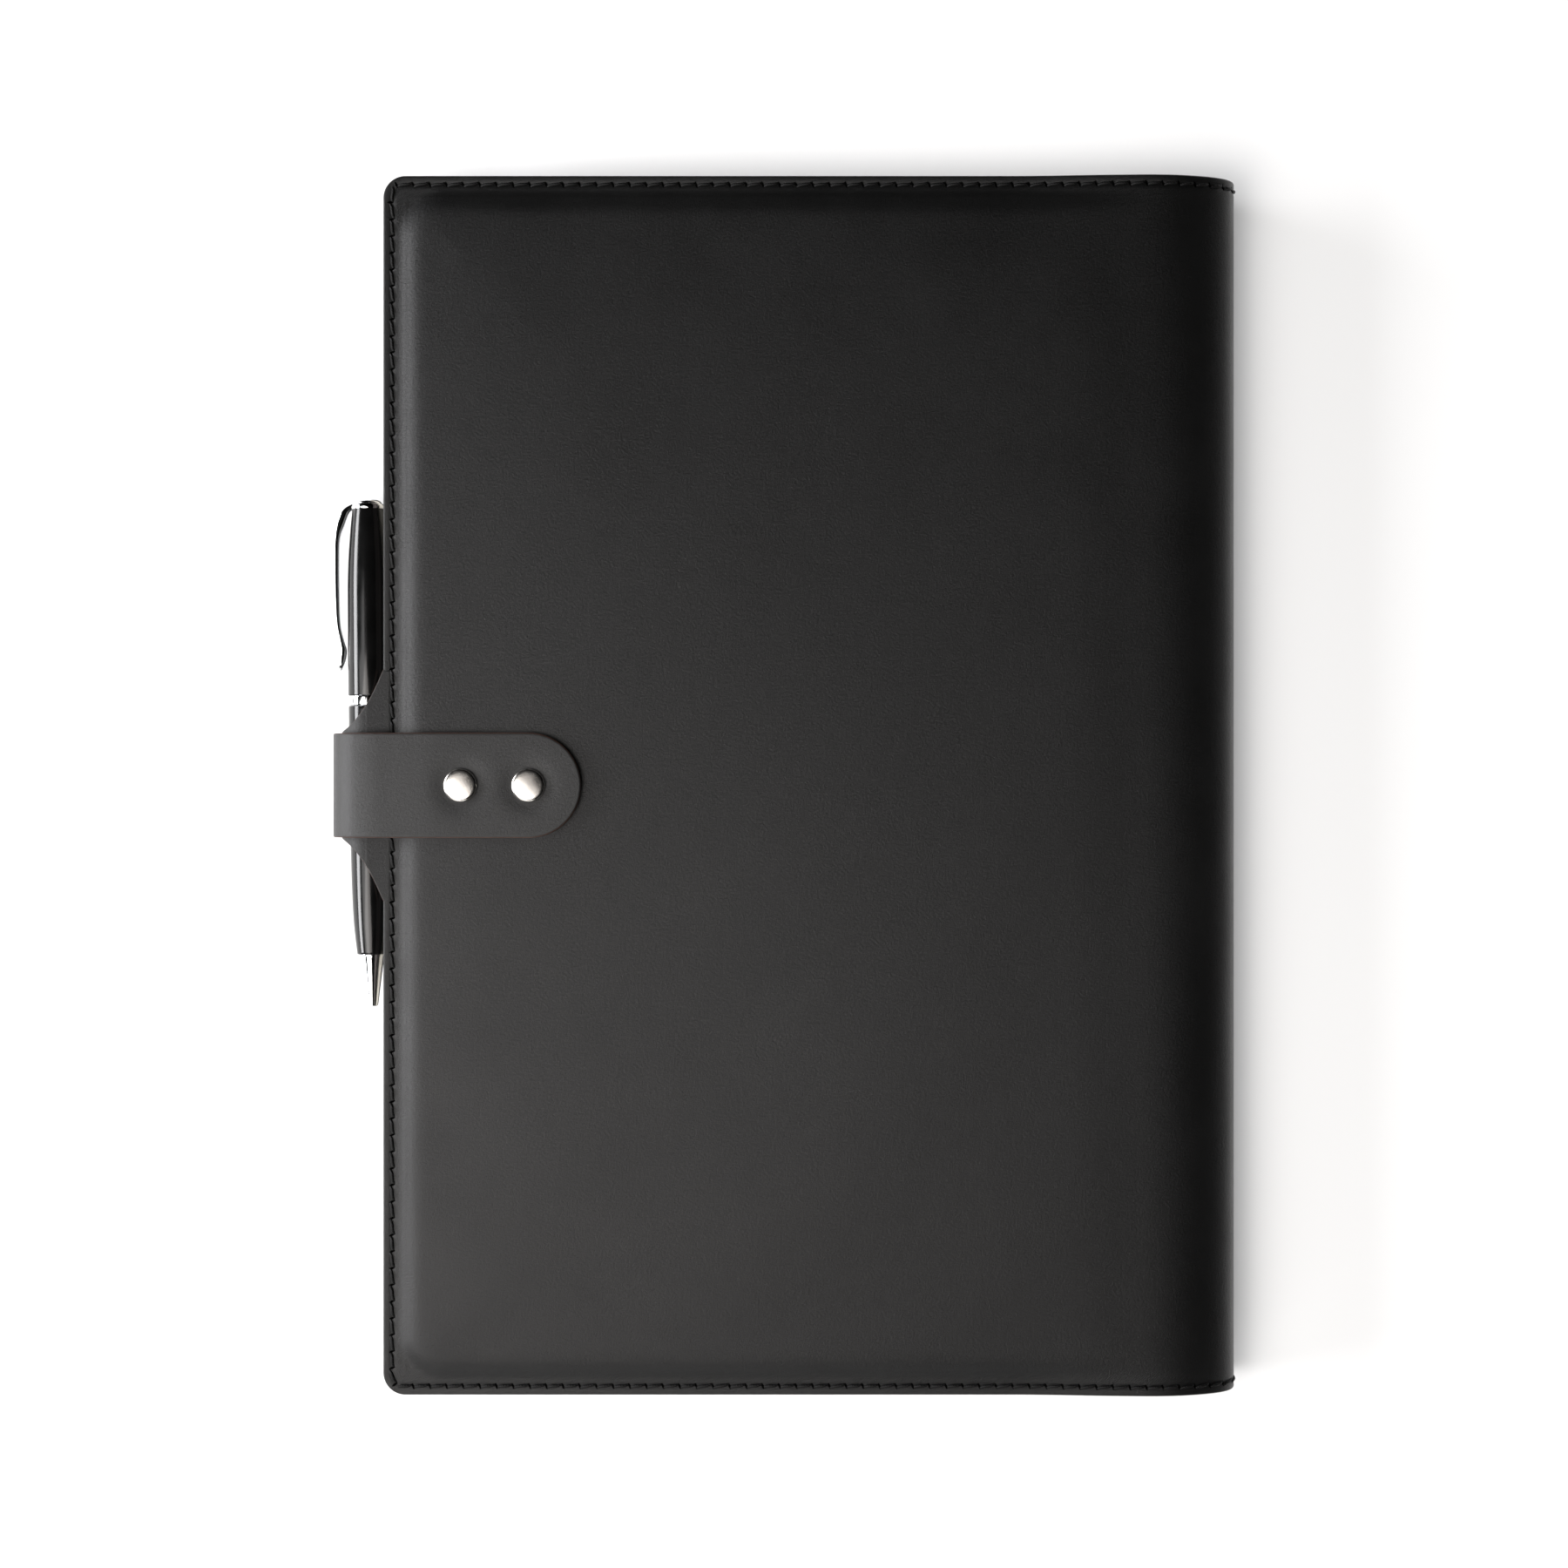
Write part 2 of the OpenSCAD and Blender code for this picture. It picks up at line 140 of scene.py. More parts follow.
def make_mesh(name, verts, faces, materials, indices=None, sharp=45, uv=None):
    """A mesh object from points and faces, smooth except at edges sharper than the given angle."""
    mesh = bpy.data.meshes.new(name)
    mesh.from_pydata([tuple(map(float, v)) for v in verts], [], faces)
    for material in materials:
        mesh.materials.append(material)
    if indices is not None:
        mesh.polygons.foreach_set("material_index", indices)
    mesh.polygons.foreach_set("use_smooth", [True] * len(mesh.polygons))
    if uv is not None:
        layer = mesh.uv_layers.new(name="flat")
        loop_verts = np.zeros(len(mesh.loops), dtype=np.int32)
        mesh.loops.foreach_get("vertex_index", loop_verts)
        layer.data.foreach_set("uv", np.asarray(uv, dtype=np.float32)[loop_verts].ravel())
    mesh.update()
    mesh.set_sharp_from_angle(angle=math.radians(sharp))
    obj = bpy.data.objects.new(name, mesh)
    bpy.context.scene.collection.objects.link(obj)
    return obj


def set_float(obj, name, values):
    """Stores one number per point for the material to read."""
    attribute = obj.data.attributes.new(name, "FLOAT", "POINT")
    attribute.data.foreach_set("value", np.asarray(values, dtype=np.float32).ravel())


def shell(name, outer, inner, materials, uv, floats=None, edge_columns=0):
    """A closed sheet between two grids of points. Slots: 0 outer face, 1 inner face, 2 cut edges."""
    nu, nv = outer.shape[:2]
    count = nu * nv
    verts = np.concatenate([outer.reshape(-1, 3), inner.reshape(-1, 3)])
    faces, slots = [], []
    for i in range(nu - 1):
        for j in range(nv - 1):
            a = i * nv + j
            faces.append((a, a + nv, a + nv + 1, a + 1))
            slots.append(2 if min(j, nv - 2 - j) < edge_columns else 0)
            faces.append((count + a, count + a + 1, count + a + nv + 1, count + a + nv))
            slots.append(1)
    ring = [i * nv for i in range(nu)]
    ring += [(nu - 1) * nv + j for j in range(1, nv)]
    ring += [i * nv + nv - 1 for i in range(nu - 2, -1, -1)]
    ring += [j for j in range(nv - 2, 0, -1)]
    for k, a in enumerate(ring):
        b = ring[(k + 1) % len(ring)]
        faces.append((b, a, count + a, count + b))
        slots.append(2)
    uv = np.concatenate([uv.reshape(-1, 2), uv.reshape(-1, 2)])
    obj = make_mesh(name, verts, faces, materials, slots, uv=uv)
    for key, values in (floats or {}).items():
        set_float(obj, key, np.concatenate([values.ravel(), values.ravel()]))
    return obj


def lathe(name, outline, steps, material):
    """Turns an outline of (radius, height) round +Z, in metres, closing its ends on the axis."""
    verts, faces = [], []
    n = len(outline)
    for k in range(steps):
        a = 2 * math.pi * k / steps
        verts += [(r * math.cos(a), r * math.sin(a), z) for r, z in outline]
    for k in range(steps):
        here, ahead = k * n, ((k + 1) % steps) * n
        for i in range(n - 1):
            faces.append((here + i, ahead + i, ahead + i + 1, here + i + 1))
    obj = make_mesh(name, verts, faces, [material], sharp=35)
    merge_doubles(obj)
    return obj


def merge_doubles(obj, distance=1e-6):
    bm = bmesh.new()
    bm.from_mesh(obj.data)
    bmesh.ops.remove_doubles(bm, verts=bm.verts, dist=distance)
    bmesh.ops.recalc_face_normals(bm, faces=bm.faces)
    bm.to_mesh(obj.data)
    bm.free()


def smooth_points(points, per_span):
    """A smooth curve through (radius, height) points by Catmull-Rom spans."""
    p = [points[0]] + list(points) + [points[-1]]
    out = []
    for i in range(1, len(p) - 2):
        for k in range(per_span):
            t = k / per_span
            out.append(tuple(
                0.5 * (2 * p[i][c] + (p[i + 1][c] - p[i - 1][c]) * t
                       + (2 * p[i - 1][c] - 5 * p[i][c] + 4 * p[i + 1][c] - p[i + 2][c]) * t * t
                       + (3 * p[i][c] - p[i - 1][c] - 3 * p[i + 1][c] + p[i + 2][c]) * t ** 3)
                for c in (0, 1)))
    out.append(tuple(points[-1]))
    return out


def ease(t):
    t = np.clip(t, 0, 1)
    return t * t * (3 - 2 * t)


def distances(path):
    """How far each point of a flat path is from its start, along the path."""
    return np.concatenate([[0], np.cumsum(np.hypot(*np.diff(path, axis=0).T))])


def walls(rings, n, base=0):
    """Faces between neighbouring rings of n points each, whose first point is number base."""
    return [(base + i * n + k, base + i * n + (k + 1) % n,
             base + (i + 1) * n + (k + 1) % n, base + (i + 1) * n + k)
            for i in range(rings - 1) for k in range(n)]


# ---------------------------------------------------------------- material helpers

class Nodes:
    """Short calls for building one material's node tree."""

    def __init__(self, name):
        self.material = bpy.data.materials.new(name)
        self.material.use_nodes = True
        self.tree = self.material.node_tree
        self.shader = self.tree.nodes["Principled BSDF"]

    def add(self, kind, **values):
        node = self.tree.nodes.new(kind)
        for key, value in values.items():
            if hasattr(node, key):
                setattr(node, key, value)
            else:
                node.inputs[key.replace("_", " ")].default_value = value
        return node

    def link(self, a, b):
        self.tree.links.new(a, b)

    def coords(self, scale, space="UV", rotate=(0, 0, 0)):
        """Texture coordinates of this scale, per metre."""
        source = self.add("ShaderNodeTexCoord")
        scale = scale if hasattr(scale, "__len__") else (scale,) * 3
        mapping = self.add("ShaderNodeMapping", Scale=scale, Rotation=rotate)
        self.link(source.outputs[space], mapping.inputs["Vector"])
        return mapping.outputs["Vector"]

    def noise(self, scale, space="UV", *, detail, rough=0.55):
        node = self.add("ShaderNodeTexNoise", Scale=1, Detail=detail, Roughness=rough)
        self.link(self.coords(scale, space), node.inputs["Vector"])
        return node.outputs["Fac"]

    def wave(self, vector, direction, **values):
        """Parallel bands across the given coordinates."""
        node = self.add("ShaderNodeTexWave", wave_type="BANDS", bands_direction=direction, Scale=1, **values)
        self.link(vector, node.inputs["Vector"])
        return node.outputs["Fac"]

    def ramp(self, value, stops):
        """Colour ramp from (position, colour) stops."""
        node = self.add("ShaderNodeValToRGB")
        node.color_ramp.elements[0].position, node.color_ramp.elements[0].color = stops[0]
        node.color_ramp.elements[1].position, node.color_ramp.elements[1].color = stops[-1]
        for position, colour in stops[1:-1]:
            node.color_ramp.elements.new(position).color = colour
        self.link(value, node.inputs["Fac"])
        return node.outputs["Color"]

    def span(self, value, low, high, out_low, out_high, smooth=False):
        node = self.add("ShaderNodeMapRange", interpolation_type="SMOOTHSTEP" if smooth else "LINEAR",
                        From_Min=low, From_Max=high, To_Min=out_low, To_Max=out_high)
        self.link(value, node.inputs["Value"])
        return node.outputs["Result"]

    def math(self, operation, a, b):
        node = self.add("ShaderNodeMath", operation=operation)
        for k, x in enumerate((a, b)):
            if isinstance(x, (int, float)):
                node.inputs[k].default_value = x
            else:
                self.link(x, node.inputs[k])
        return node.outputs["Value"]

    def bump(self, height, strength, distance, below=None):
        node = self.add("ShaderNodeBump", Strength=strength, Distance=distance)
        self.link(height, node.inputs["Height"])
        if below is not None:
            self.link(below, node.inputs["Normal"])
        return node.outputs["Normal"]

    def attribute(self, name):
        return self.add("ShaderNodeAttribute", attribute_name=name).outputs["Fac"]

    def set(self, **values):
        for key, value in values.items():
            self.shader.inputs[key.replace("_", " ")].default_value = value
        return self

    def into(self, socket, output):
        self.link(output, self.shader.inputs[socket])
        return self


def grey(v, warm=0.0):
    return (v * (1 + warm), v, v * (1 - warm), 1)


# ---------------------------------------------------------------- materials

def leather_material(name, dark, light, rough, rim=False):
    """Smooth waxed leather: faint cloudy tone, fine pores and short creases."""
    n = Nodes(name)
    cloud = n.noise(14, detail=5)
    grain = n.noise(1350, detail=5, rough=0.8)
    tone = n.math("ADD", n.math("MULTIPLY", cloud, 0.45), n.math("MULTIPLY", grain, 0.55))
    n.into("Base Color", n.ramp(tone, [(0.36, dark), (0.64, light)]))
    smudge = n.math("ADD", n.math("MULTIPLY", n.noise(40, detail=3), 0.6), n.math("MULTIPLY", grain, 0.4))
    n.into("Roughness", n.span(smudge, 0.34, 0.66, rough - 0.05, rough + 0.06))
    pores = n.add("ShaderNodeTexVoronoi", Scale=1)
    n.link(n.coords(2600), pores.inputs["Vector"])
    normal = n.bump(pores.outputs["Distance"], 0.10, 0.12 * MM)
    normal = n.bump(n.noise(1900, detail=6, rough=0.7), 0.2, 0.12 * MM, normal)
    normal = n.bump(grain, 0.56, 0.26 * MM, normal)
    normal = n.bump(n.noise(130, detail=3), 0.05, 0.5 * MM, normal)
    if rim:
        normal = rim_creases(n, normal)
    n.into("Normal", normal)
    n.set(Specular_IOR_Level=0.42, Sheen_Weight=0.05, Sheen_Roughness=0.4)
    return n.material


def rim_creases(n, normal):
    """Fine slanted creases between the stitch row and the ridge of the board."""
    inset = n.attribute("inset")
    band_in = n.span(inset, 3.0, 3.9, 0, 1, smooth=True)
    band_out = n.span(inset, 5.4, 6.4, 1, 0, smooth=True)
    band = n.math("MULTIPLY", band_in, band_out)
    slanted = n.coords(640, rotate=(0, 0, math.radians(47)))
    creases = n.wave(slanted, "X", Distortion=3, Detail=3, Detail_Scale=1.4)
    return n.bump(n.math("MULTIPLY", creases, band), 0.2, 0.14 * MM, normal)


def edge_material(name, colour):
    """Raw cut edge of leather: fibrous, matt, a little reddish."""
    n = Nodes(name)
    fibre = n.noise(1800, detail=6, rough=0.8)
    darker = tuple(c * 0.45 for c in colour[:3]) + (1,)
    n.into("Base Color", n.ramp(fibre, [(0.35, darker), (0.7, colour)]))
    n.into("Normal", n.bump(fibre, 0.5, 0.2 * MM))
    return n.set(Roughness=0.8).material


def cloth_material(name, dark, light, threads):
    """Plain woven lining."""
    n = Nodes(name)
    warp, weft = (n.wave(n.coords(threads), direction, Distortion=0.6) for direction in ("X", "Y"))
    weave = n.math("MULTIPLY", warp, weft)
    n.into("Base Color", n.ramp(weave, [(0.1, dark), (0.8, light)]))
    n.into("Normal", n.bump(weave, 0.4, 0.15 * MM))
    return n.set(Roughness=0.75, Sheen_Weight=0.15).material


def thread_material():
    n = Nodes("waxed_thread")
    twist = n.wave(n.coords(900, "Object"), "DIAGONAL", Distortion=1.2)
    n.into("Base Color", n.ramp(twist, [(0.2, grey(0.0006)), (0.8, grey(0.0030))]))
    n.into("Normal", n.bump(twist, 0.5, 0.15 * MM))
    return n.set(Roughness=0.55, Specular_IOR_Level=0.28).material


def metal_material(name, colour, rough):
    n = Nodes(name)
    wear = n.noise(260, "Object", detail=5, rough=0.7)
    n.into("Roughness", n.span(wear, 0.35, 0.75, rough, rough + 0.07))
    n.into("Normal", n.bump(n.noise(1500, "Object", detail=3), 0.025, 0.05 * MM))
    darker = tuple(c * 0.93 for c in colour[:3]) + (1,)
    n.into("Base Color", n.ramp(wear, [(0.3, darker), (0.7, colour)]))
    return n.set(Metallic=1.0).material


def lacquer_material():
    """Glossy black lacquer with a faint haze."""
    n = Nodes("black_lacquer")
    haze = n.noise(180, "Object", detail=4)
    n.into("Base Color", n.ramp(haze, [(0.3, grey(0.002)), (0.7, grey(0.0035))]))
    n.into("Roughness", n.span(haze, 0.3, 0.7, 0.14, 0.18))
    n.into("Normal", n.bump(n.noise(2500, "Object", detail=2), 0.02, 0.04 * MM))
    return n.set(Specular_IOR_Level=0.5).material


def page_edge_material():
    """Stack of sheets seen from the side: fine lines parallel to the sheets."""
    n = Nodes("page_edges")
    lines = n.noise((12, 12, 9000), "Object", detail=4, rough=0.8)
    n.into("Base Color", n.ramp(lines, [(0.3, (0.42, 0.38, 0.31, 1)), (0.62, (0.82, 0.78, 0.69, 1))]))
    n.into("Normal", n.bump(lines, 0.6, 0.15 * MM))
    return n.set(Roughness=0.85).material


def paper_material(name, dark, light):
    n = Nodes(name)
    fibre = n.noise(700, "Object", detail=6, rough=0.7)
    n.into("Base Color", n.ramp(fibre, [(0.3, dark), (0.7, light)]))
    n.into("Normal", n.bump(fibre, 0.12, 0.08 * MM))
    return n.set(Roughness=0.9, Specular_IOR_Level=0.2).material


LEATHER = leather_material("cover_leather", grey(0.0014), grey(0.0032), 0.37, rim=True)
LEATHER_PLAIN = leather_material("loop_leather", grey(0.0016), grey(0.0036), 0.40)
LEATHER_INNER = leather_material("pocket_leather", grey(0.010, 0.05), grey(0.020, 0.08), 0.5)
STRAP_LEATHER = leather_material("strap_leather", grey(0.0090, 0.01), grey(0.0150, 0.02), 0.40)
FLESH = leather_material("leather_flesh_side", (0.030, 0.021, 0.015, 1), (0.055, 0.038, 0.026, 1), 0.8)
EDGE = edge_material("painted_cut_edge", (0.020, 0.013, 0.011, 1))
STRAP_EDGE = edge_material("strap_cut_edge", (0.085, 0.042, 0.030, 1))
LINING = cloth_material("woven_lining", (0.030, 0.021, 0.016, 1), (0.085, 0.060, 0.045, 1), 1400)
BOARD_CLOTH = cloth_material("board_cloth", grey(0.010), grey(0.030), 1900)
THREAD = thread_material()
NICKEL = metal_material("polished_nickel", (0.82, 0.79, 0.75, 1), 0.19)
CHROME = metal_material("polished_chrome", (0.86, 0.87, 0.88, 1), 0.07)
STEEL = metal_material("plain_steel", (0.55, 0.55, 0.57, 1), 0.28)
LACQUER = lacquer_material()
PAGE_EDGES = page_edge_material()
PAPER = paper_material("page_paper", (0.72, 0.68, 0.58, 1), (0.86, 0.82, 0.72, 1))
ENDPAPER = paper_material("endpaper", (0.34, 0.32, 0.29, 1), (0.44, 0.42, 0.38, 1))
# Matt black with no reflection: painted shade for the insides of the stitch slits
SLIT_SHADE = Nodes("painted_slit_shade").set(Base_Color=grey(0.0006), Roughness=1.0, Specular_IOR_Level=0.0).material


# ---------------------------------------------------------------- cover section

def cover_section():
    """The front cover's outer line from fore edge to mid spine: tables of length, x, z and normal."""
    step = 0.25 * MM
    roll_x = FOLD.x - ROLL_W
    flat = np.arange(FORE_X, roll_x, step)
    mid_r = ROLL_R - SKIN_T / 2
    fold_a = math.asin(ROLL_W / mid_r)
    a = np.arange(0, fold_a, step / ROLL_R)
    roll = np.stack([roll_x + ROLL_R * np.sin(a), COVER_H - ROLL_R + ROLL_R * np.cos(a)], 1)
    end = roll[-1]
    dx, dz = SPINE_X - end[0], end[1] - MID_Z
    spine_r = (dx * dx + dz * dz) / (2 * dx)
    cx = SPINE_X - spine_r
    b = np.arange(math.atan2(dz, end[0] - cx) - step / spine_r, 0, -step / spine_r)
    spine = np.stack([cx + spine_r * np.cos(b), MID_Z + spine_r * np.sin(b)], 1)
    half = np.concatenate([np.stack([flat, np.full_like(flat, COVER_H)], 1), roll, spine])
    mirrored = np.stack([half[::-1, 0], COVER_H - half[::-1, 1]], 1)
    line = np.concatenate([half, [[SPINE_X, MID_Z]], mirrored])
    middle = len(half)
    # Runs of averages soften the joints between the flat, the roll and the spine
    reach, passes = 9, 3
    for _ in range(passes):
        kernel = np.ones(2 * reach + 1) / (2 * reach + 1)
        for c in (0, 1):
            line[reach:-reach, c] = np.convolve(line[:, c], kernel, mode="valid")
    line = line[:middle + 1]
    line[:, 0] += (SPINE_X - line[-1, 0]) * ease((line[:, 0] - roll_x) / (SPINE_X - roll_x))
    length = distances(line)
    tangent = np.gradient(line, length, axis=0)
    tangent /= np.linalg.norm(tangent, axis=1)[:, None]
    tangent[-1] = (0, -1)
    return length, line[:, 0], line[:, 1], tangent[:, 1] * -1, tangent[:, 0]


SEC_S, SEC_X, SEC_Z, SEC_NX, SEC_NZ = cover_section()
SECTION_L = SEC_S[-1]
ROLL_S = FOLD.x - ROLL_W - FORE_X


def rim_inset(s, y, corner_r=CORNER_R):
    """Distance from the nearest cut edge of the cover, with round corners at the fore edge."""
    qx = corner_r - s
    qy = np.abs(y) - (HALF_L - corner_r)
    corner = corner_r - np.hypot(np.maximum(qx, 0), np.maximum(qy, 0))
    return np.where((qx > 0) & (qy > 0), corner, np.minimum(s, HALF_L - np.abs(y)))


def board_lift(s, y):
    """How far the board lifts the leather above the rim: a ramp, a long soft crown and a fine ridge."""
    d = rim_inset(s, y, PANEL_R)
    ramp = 1 - np.exp(-(np.maximum(d - RAMP_IN, 0) / RAMP_W) ** 2.1)
    crown = 1 - np.exp(-(np.maximum(d - RAMP_IN, 0) / CROWN_W) ** 1.3)
    ridge = RIDGE_H * np.exp(-((rim_inset(s, y, MM) - RIDGE_IN) / RIDGE_W) ** 2)
    return RIM_DROP * ((1 - CROWN_SHARE) * ramp + CROWN_SHARE * crown) + ridge


def waviness(s, y):
    """Slow unevenness of a large piece of leather: waves some 8 to 20 cm long."""
    return WAVE_H * (np.sin(s * 47 + 1.3) * np.sin(y * 31 + 0.4) + 0.6 * np.sin(s * 83 - y * 59 + 2.0))


def sink(s, y, studs):
    """Depth of the outer face below the plain section at (s, y)."""
    d = rim_inset(s, y)
    at_spine = ease((s - (ROLL_S - SPINE_FADE_AT)) / SPINE_FADE_W)
    depth = (RIM_DROP - board_lift(s, y)) * (1 - at_spine)
    depth += GROOVE_D * np.exp(-((d - STITCH_IN) / GROOVE_W) ** 2)
    by_roll = ease((s - ROLL_S + 18 * MM) / (20 * MM)) * (1 - ease((s - ROLL_S - 2 * MM) / (18 * MM)))
    depth += SLACK * by_roll
    rim = np.clip(1 - d / EDGE_R, 0, 1)
    depth += EDGE_R * (1 - np.sqrt(1 - rim ** 2)) * 0.8
    depth += waviness(s, y) * ease((d - 8 * MM) / (20 * MM)) * ease((ROLL_S - s) / (30 * MM))
    if studs:
        for x in SNAP_X:
            depth += STUD_DENT * ease((STUD_R - np.hypot(s - (x - FORE_X), y)) / (2 * MM))
    return depth


def cover_point(s, y, side, depth, studs):
    """Points at depth below the outer face. side is 1 for the front cover and -1 for the back."""
    total = depth + sink(s, y, studs and side > 0)
    x = np.interp(s, SEC_S, SEC_X) - np.interp(s, SEC_S, SEC_NX) * total
    z = np.interp(s, SEC_S, SEC_Z) - np.interp(s, SEC_S, SEC_NZ) * total
    if side < 0:
        z = COVER_H - z
    return np.stack([x, np.broadcast_to(y, x.shape), z], -1)


def edge_steps(limit, step):
    """Distances from an edge: close together over the rounded edge, the stitches and the ridge."""
    steps = [f * EDGE_R for f in (0, 0.08, 0.25, 0.5, 0.75, 1)]
    while steps[-1] < limit:
        steps.append(steps[-1] + step)
    return steps


def cover_grid(fine):
    """Grid of (s, y) over a whole cover panel and its half of the spine."""
    rim = edge_steps(20 * MM, 0.4 * MM if fine else 1.2 * MM)
    coarse = 4 * MM
    flat = np.arange(rim[-1] + coarse, ROLL_S - coarse, coarse)
    bend = np.linspace(ROLL_S - coarse / 2, SECTION_L, 40)
    s_line = np.concatenate([rim, flat, bend])
    middle = np.arange(-HALF_L + rim[-1] + coarse, HALF_L - rim[-1] - coarse / 2, coarse)
    y_line = np.concatenate([-HALF_L + np.array(rim), middle, HALF_L - np.array(rim[::-1])])
    s, y = np.meshgrid(s_line, y_line, indexing="ij")
    over = np.clip(np.abs(y) - (HALF_L - CORNER_R), 0, CORNER_R)
    start = CORNER_R - np.sqrt(np.maximum(CORNER_R ** 2 - over ** 2, 0))
    s = s + start * np.clip(1 - s / (25 * MM), 0, 1)
    return s, y


def cover_sheet(name, side, depth0, depth1, materials, fine=True):
    """The layer of a whole cover between two depths, from the fore edge to the middle of the spine."""
    s, y = cover_grid(fine)
    outer = cover_point(s, y, side, depth0, studs=depth0 == 0)
    inner = cover_point(s, y, side, depth1, studs=False)
    if side < 0:
        s, y, outer, inner = (g[:, ::-1] for g in (s, y, outer, inner))
    uv = np.stack([s, y + (1 if side < 0 else 0)], -1)
    return shell(name, outer, inner, materials, uv, {"inset": rim_inset(s, y) / MM})


def across_fold(obj, side):
    """Bakes a cover piece's placement into its points; it bends nothing over the fold."""
    if side > 0:
        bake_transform(obj)
    else:
        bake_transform(obj)


# ---------------------------------------------------------------- stitching

def stitch_path():
    """Evenly spaced places along the row: (s, y) and direction, from head spine round to tail spine."""
    r = CORNER_R - STITCH_IN
    straight = SECTION_L - CORNER_R
    tall = 2 * (HALF_L - CORNER_R)
    arc = math.pi / 2 * r
    total = 2 * straight + 2 * arc + tall
    count = int(total / STITCH_PITCH)
    places = []
    for k in range(count):
        p = (k + 0.5) * total / count
        if p < straight:
            places.append((SECTION_L - p, HALF_L - STITCH_IN, (-1, 0)))
            continue
        p -= straight
        if p < arc:
            a = p / r
            places.append((CORNER_R - r * math.sin(a), HALF_L - CORNER_R + r * math.cos(a),
                           (-math.cos(a), -math.sin(a))))
            continue
        p -= arc
        if p < tall:
            places.append((STITCH_IN, HALF_L - CORNER_R - p, (0, -1)))
            continue
        p -= tall
        if p < arc:
            a = p / r
            places.append((CORNER_R - r * math.cos(a), -HALF_L + CORNER_R - r * math.sin(a),
                           (math.sin(a), -math.cos(a))))
            continue
        places.append((CORNER_R + p - arc, -HALF_L + STITCH_IN, (1, 0)))
    return places


def thread_bar(place, length, slant):
    """Ring centres of one stitch in (s, y, height): out of one hole, over, and into the next."""
    s0, y0, (ds, dy) = place
    out = []
    for i in range(THREAD_RINGS):
        t = i / (THREAD_RINGS - 1)
        a = (t - 0.5) * length
        across = math.tan(slant) * a + 0.16 * MM * math.sin(2 * math.pi * t)
        up = THREAD_LIFT * math.sin(math.pi * t) ** 0.6 - 0.34 * MM * abs(2 * t - 1) ** 3
        out.append((s0 + ds * a - dy * across, y0 + dy * a + ds * across, up))
    return out


def build_stitches(name, side):
    """One mesh with a tube for each stitch and, under each end, a flat matt black lens: painted shade for the
    slit.
    """
    verts, faces, slots = [], [], []
    for place in stitch_path():
        jitter = random.uniform(-0.04, 0.04)
        line = thread_bar(place, STITCH_L * (1 + jitter), STITCH_SLANT + jitter)
        add_tube(verts, faces, slots, line, side)
        add_slit_shade(verts, faces, slots, place, side)
    return make_mesh(name, verts, faces, [THREAD, SLIT_SHADE], slots, sharp=60)


def row_point(s, y, up, side):
    """A point above the outer face of the cover."""
    return cover_point(np.array([s]), np.array([y]), side, -up, studs=False)[0]


def add_tube(verts, faces, slots, line, side):
    """The thread of one stitch, thinner towards its two holes."""
    around = 8
    base = len(verts)
    points = [row_point(s, y, up, side) for s, y, up in line]
    for i, p in enumerate(points):
        ahead = points[min(i + 1, len(points) - 1)] - points[max(i - 1, 0)]
        ahead /= np.linalg.norm(ahead)
        s, y, up = line[i]
        normal = row_point(s, y, up + 0.2 * MM, side) - p
        normal -= ahead * (normal @ ahead)
        normal /= np.linalg.norm(normal)
        across = np.cross(ahead, normal)
        taper = 0.82 + 0.18 * math.sin(math.pi * i / (len(points) - 1))
        for k in range(around):
            a = 2 * math.pi * k / around
            verts.append(p + THREAD_R * taper * (math.cos(a) * across + 0.8 * math.sin(a) * normal))
    faces += walls(len(points), around, base)
    faces.append(tuple(base + k for k in range(around))[::-1])
    faces.append(tuple(base + (len(points) - 1) * around + k for k in range(around)))
    slots += [0] * (len(faces) - len(slots))


def add_slit_shade(verts, faces, slots, place, side):
    """Flat matt black lens between two stitches: painted shade standing for the shadowed inside of the
    slanted slit the awl leaves.
    """
    long_r, short_r, sides = 0.88 * MM, 0.30 * MM, 12
    s0, y0, (ds, dy) = place
    s0, y0 = s0 + ds * STITCH_PITCH / 2, y0 + dy * STITCH_PITCH / 2
    turn = math.radians(-69)
    us, uy = ds * math.cos(turn) - dy * math.sin(turn), dy * math.cos(turn) + ds * math.sin(turn)
    base = len(verts)
    for up in (0.035 * MM, -0.12 * MM):
        for k in range(sides):
            a = 2 * math.pi * k / sides
            along, across = long_r * math.cos(a), short_r * math.sin(a)
            s, y = s0 + us * along - uy * across, y0 + uy * along + us * across
            verts.append(row_point(s, y, up, side))
    faces.append(tuple(base + k for k in range(sides)))
    faces.append(tuple(base + sides + k for k in range(sides))[::-1])
    slots += [1, 1]
    for k in range(sides):
        b = (k + 1) % sides
        faces.append((base + b, base + k, base + sides + k, base + sides + b))
        slots.append(1)


# ---------------------------------------------------------------- ribbons: strap and loop

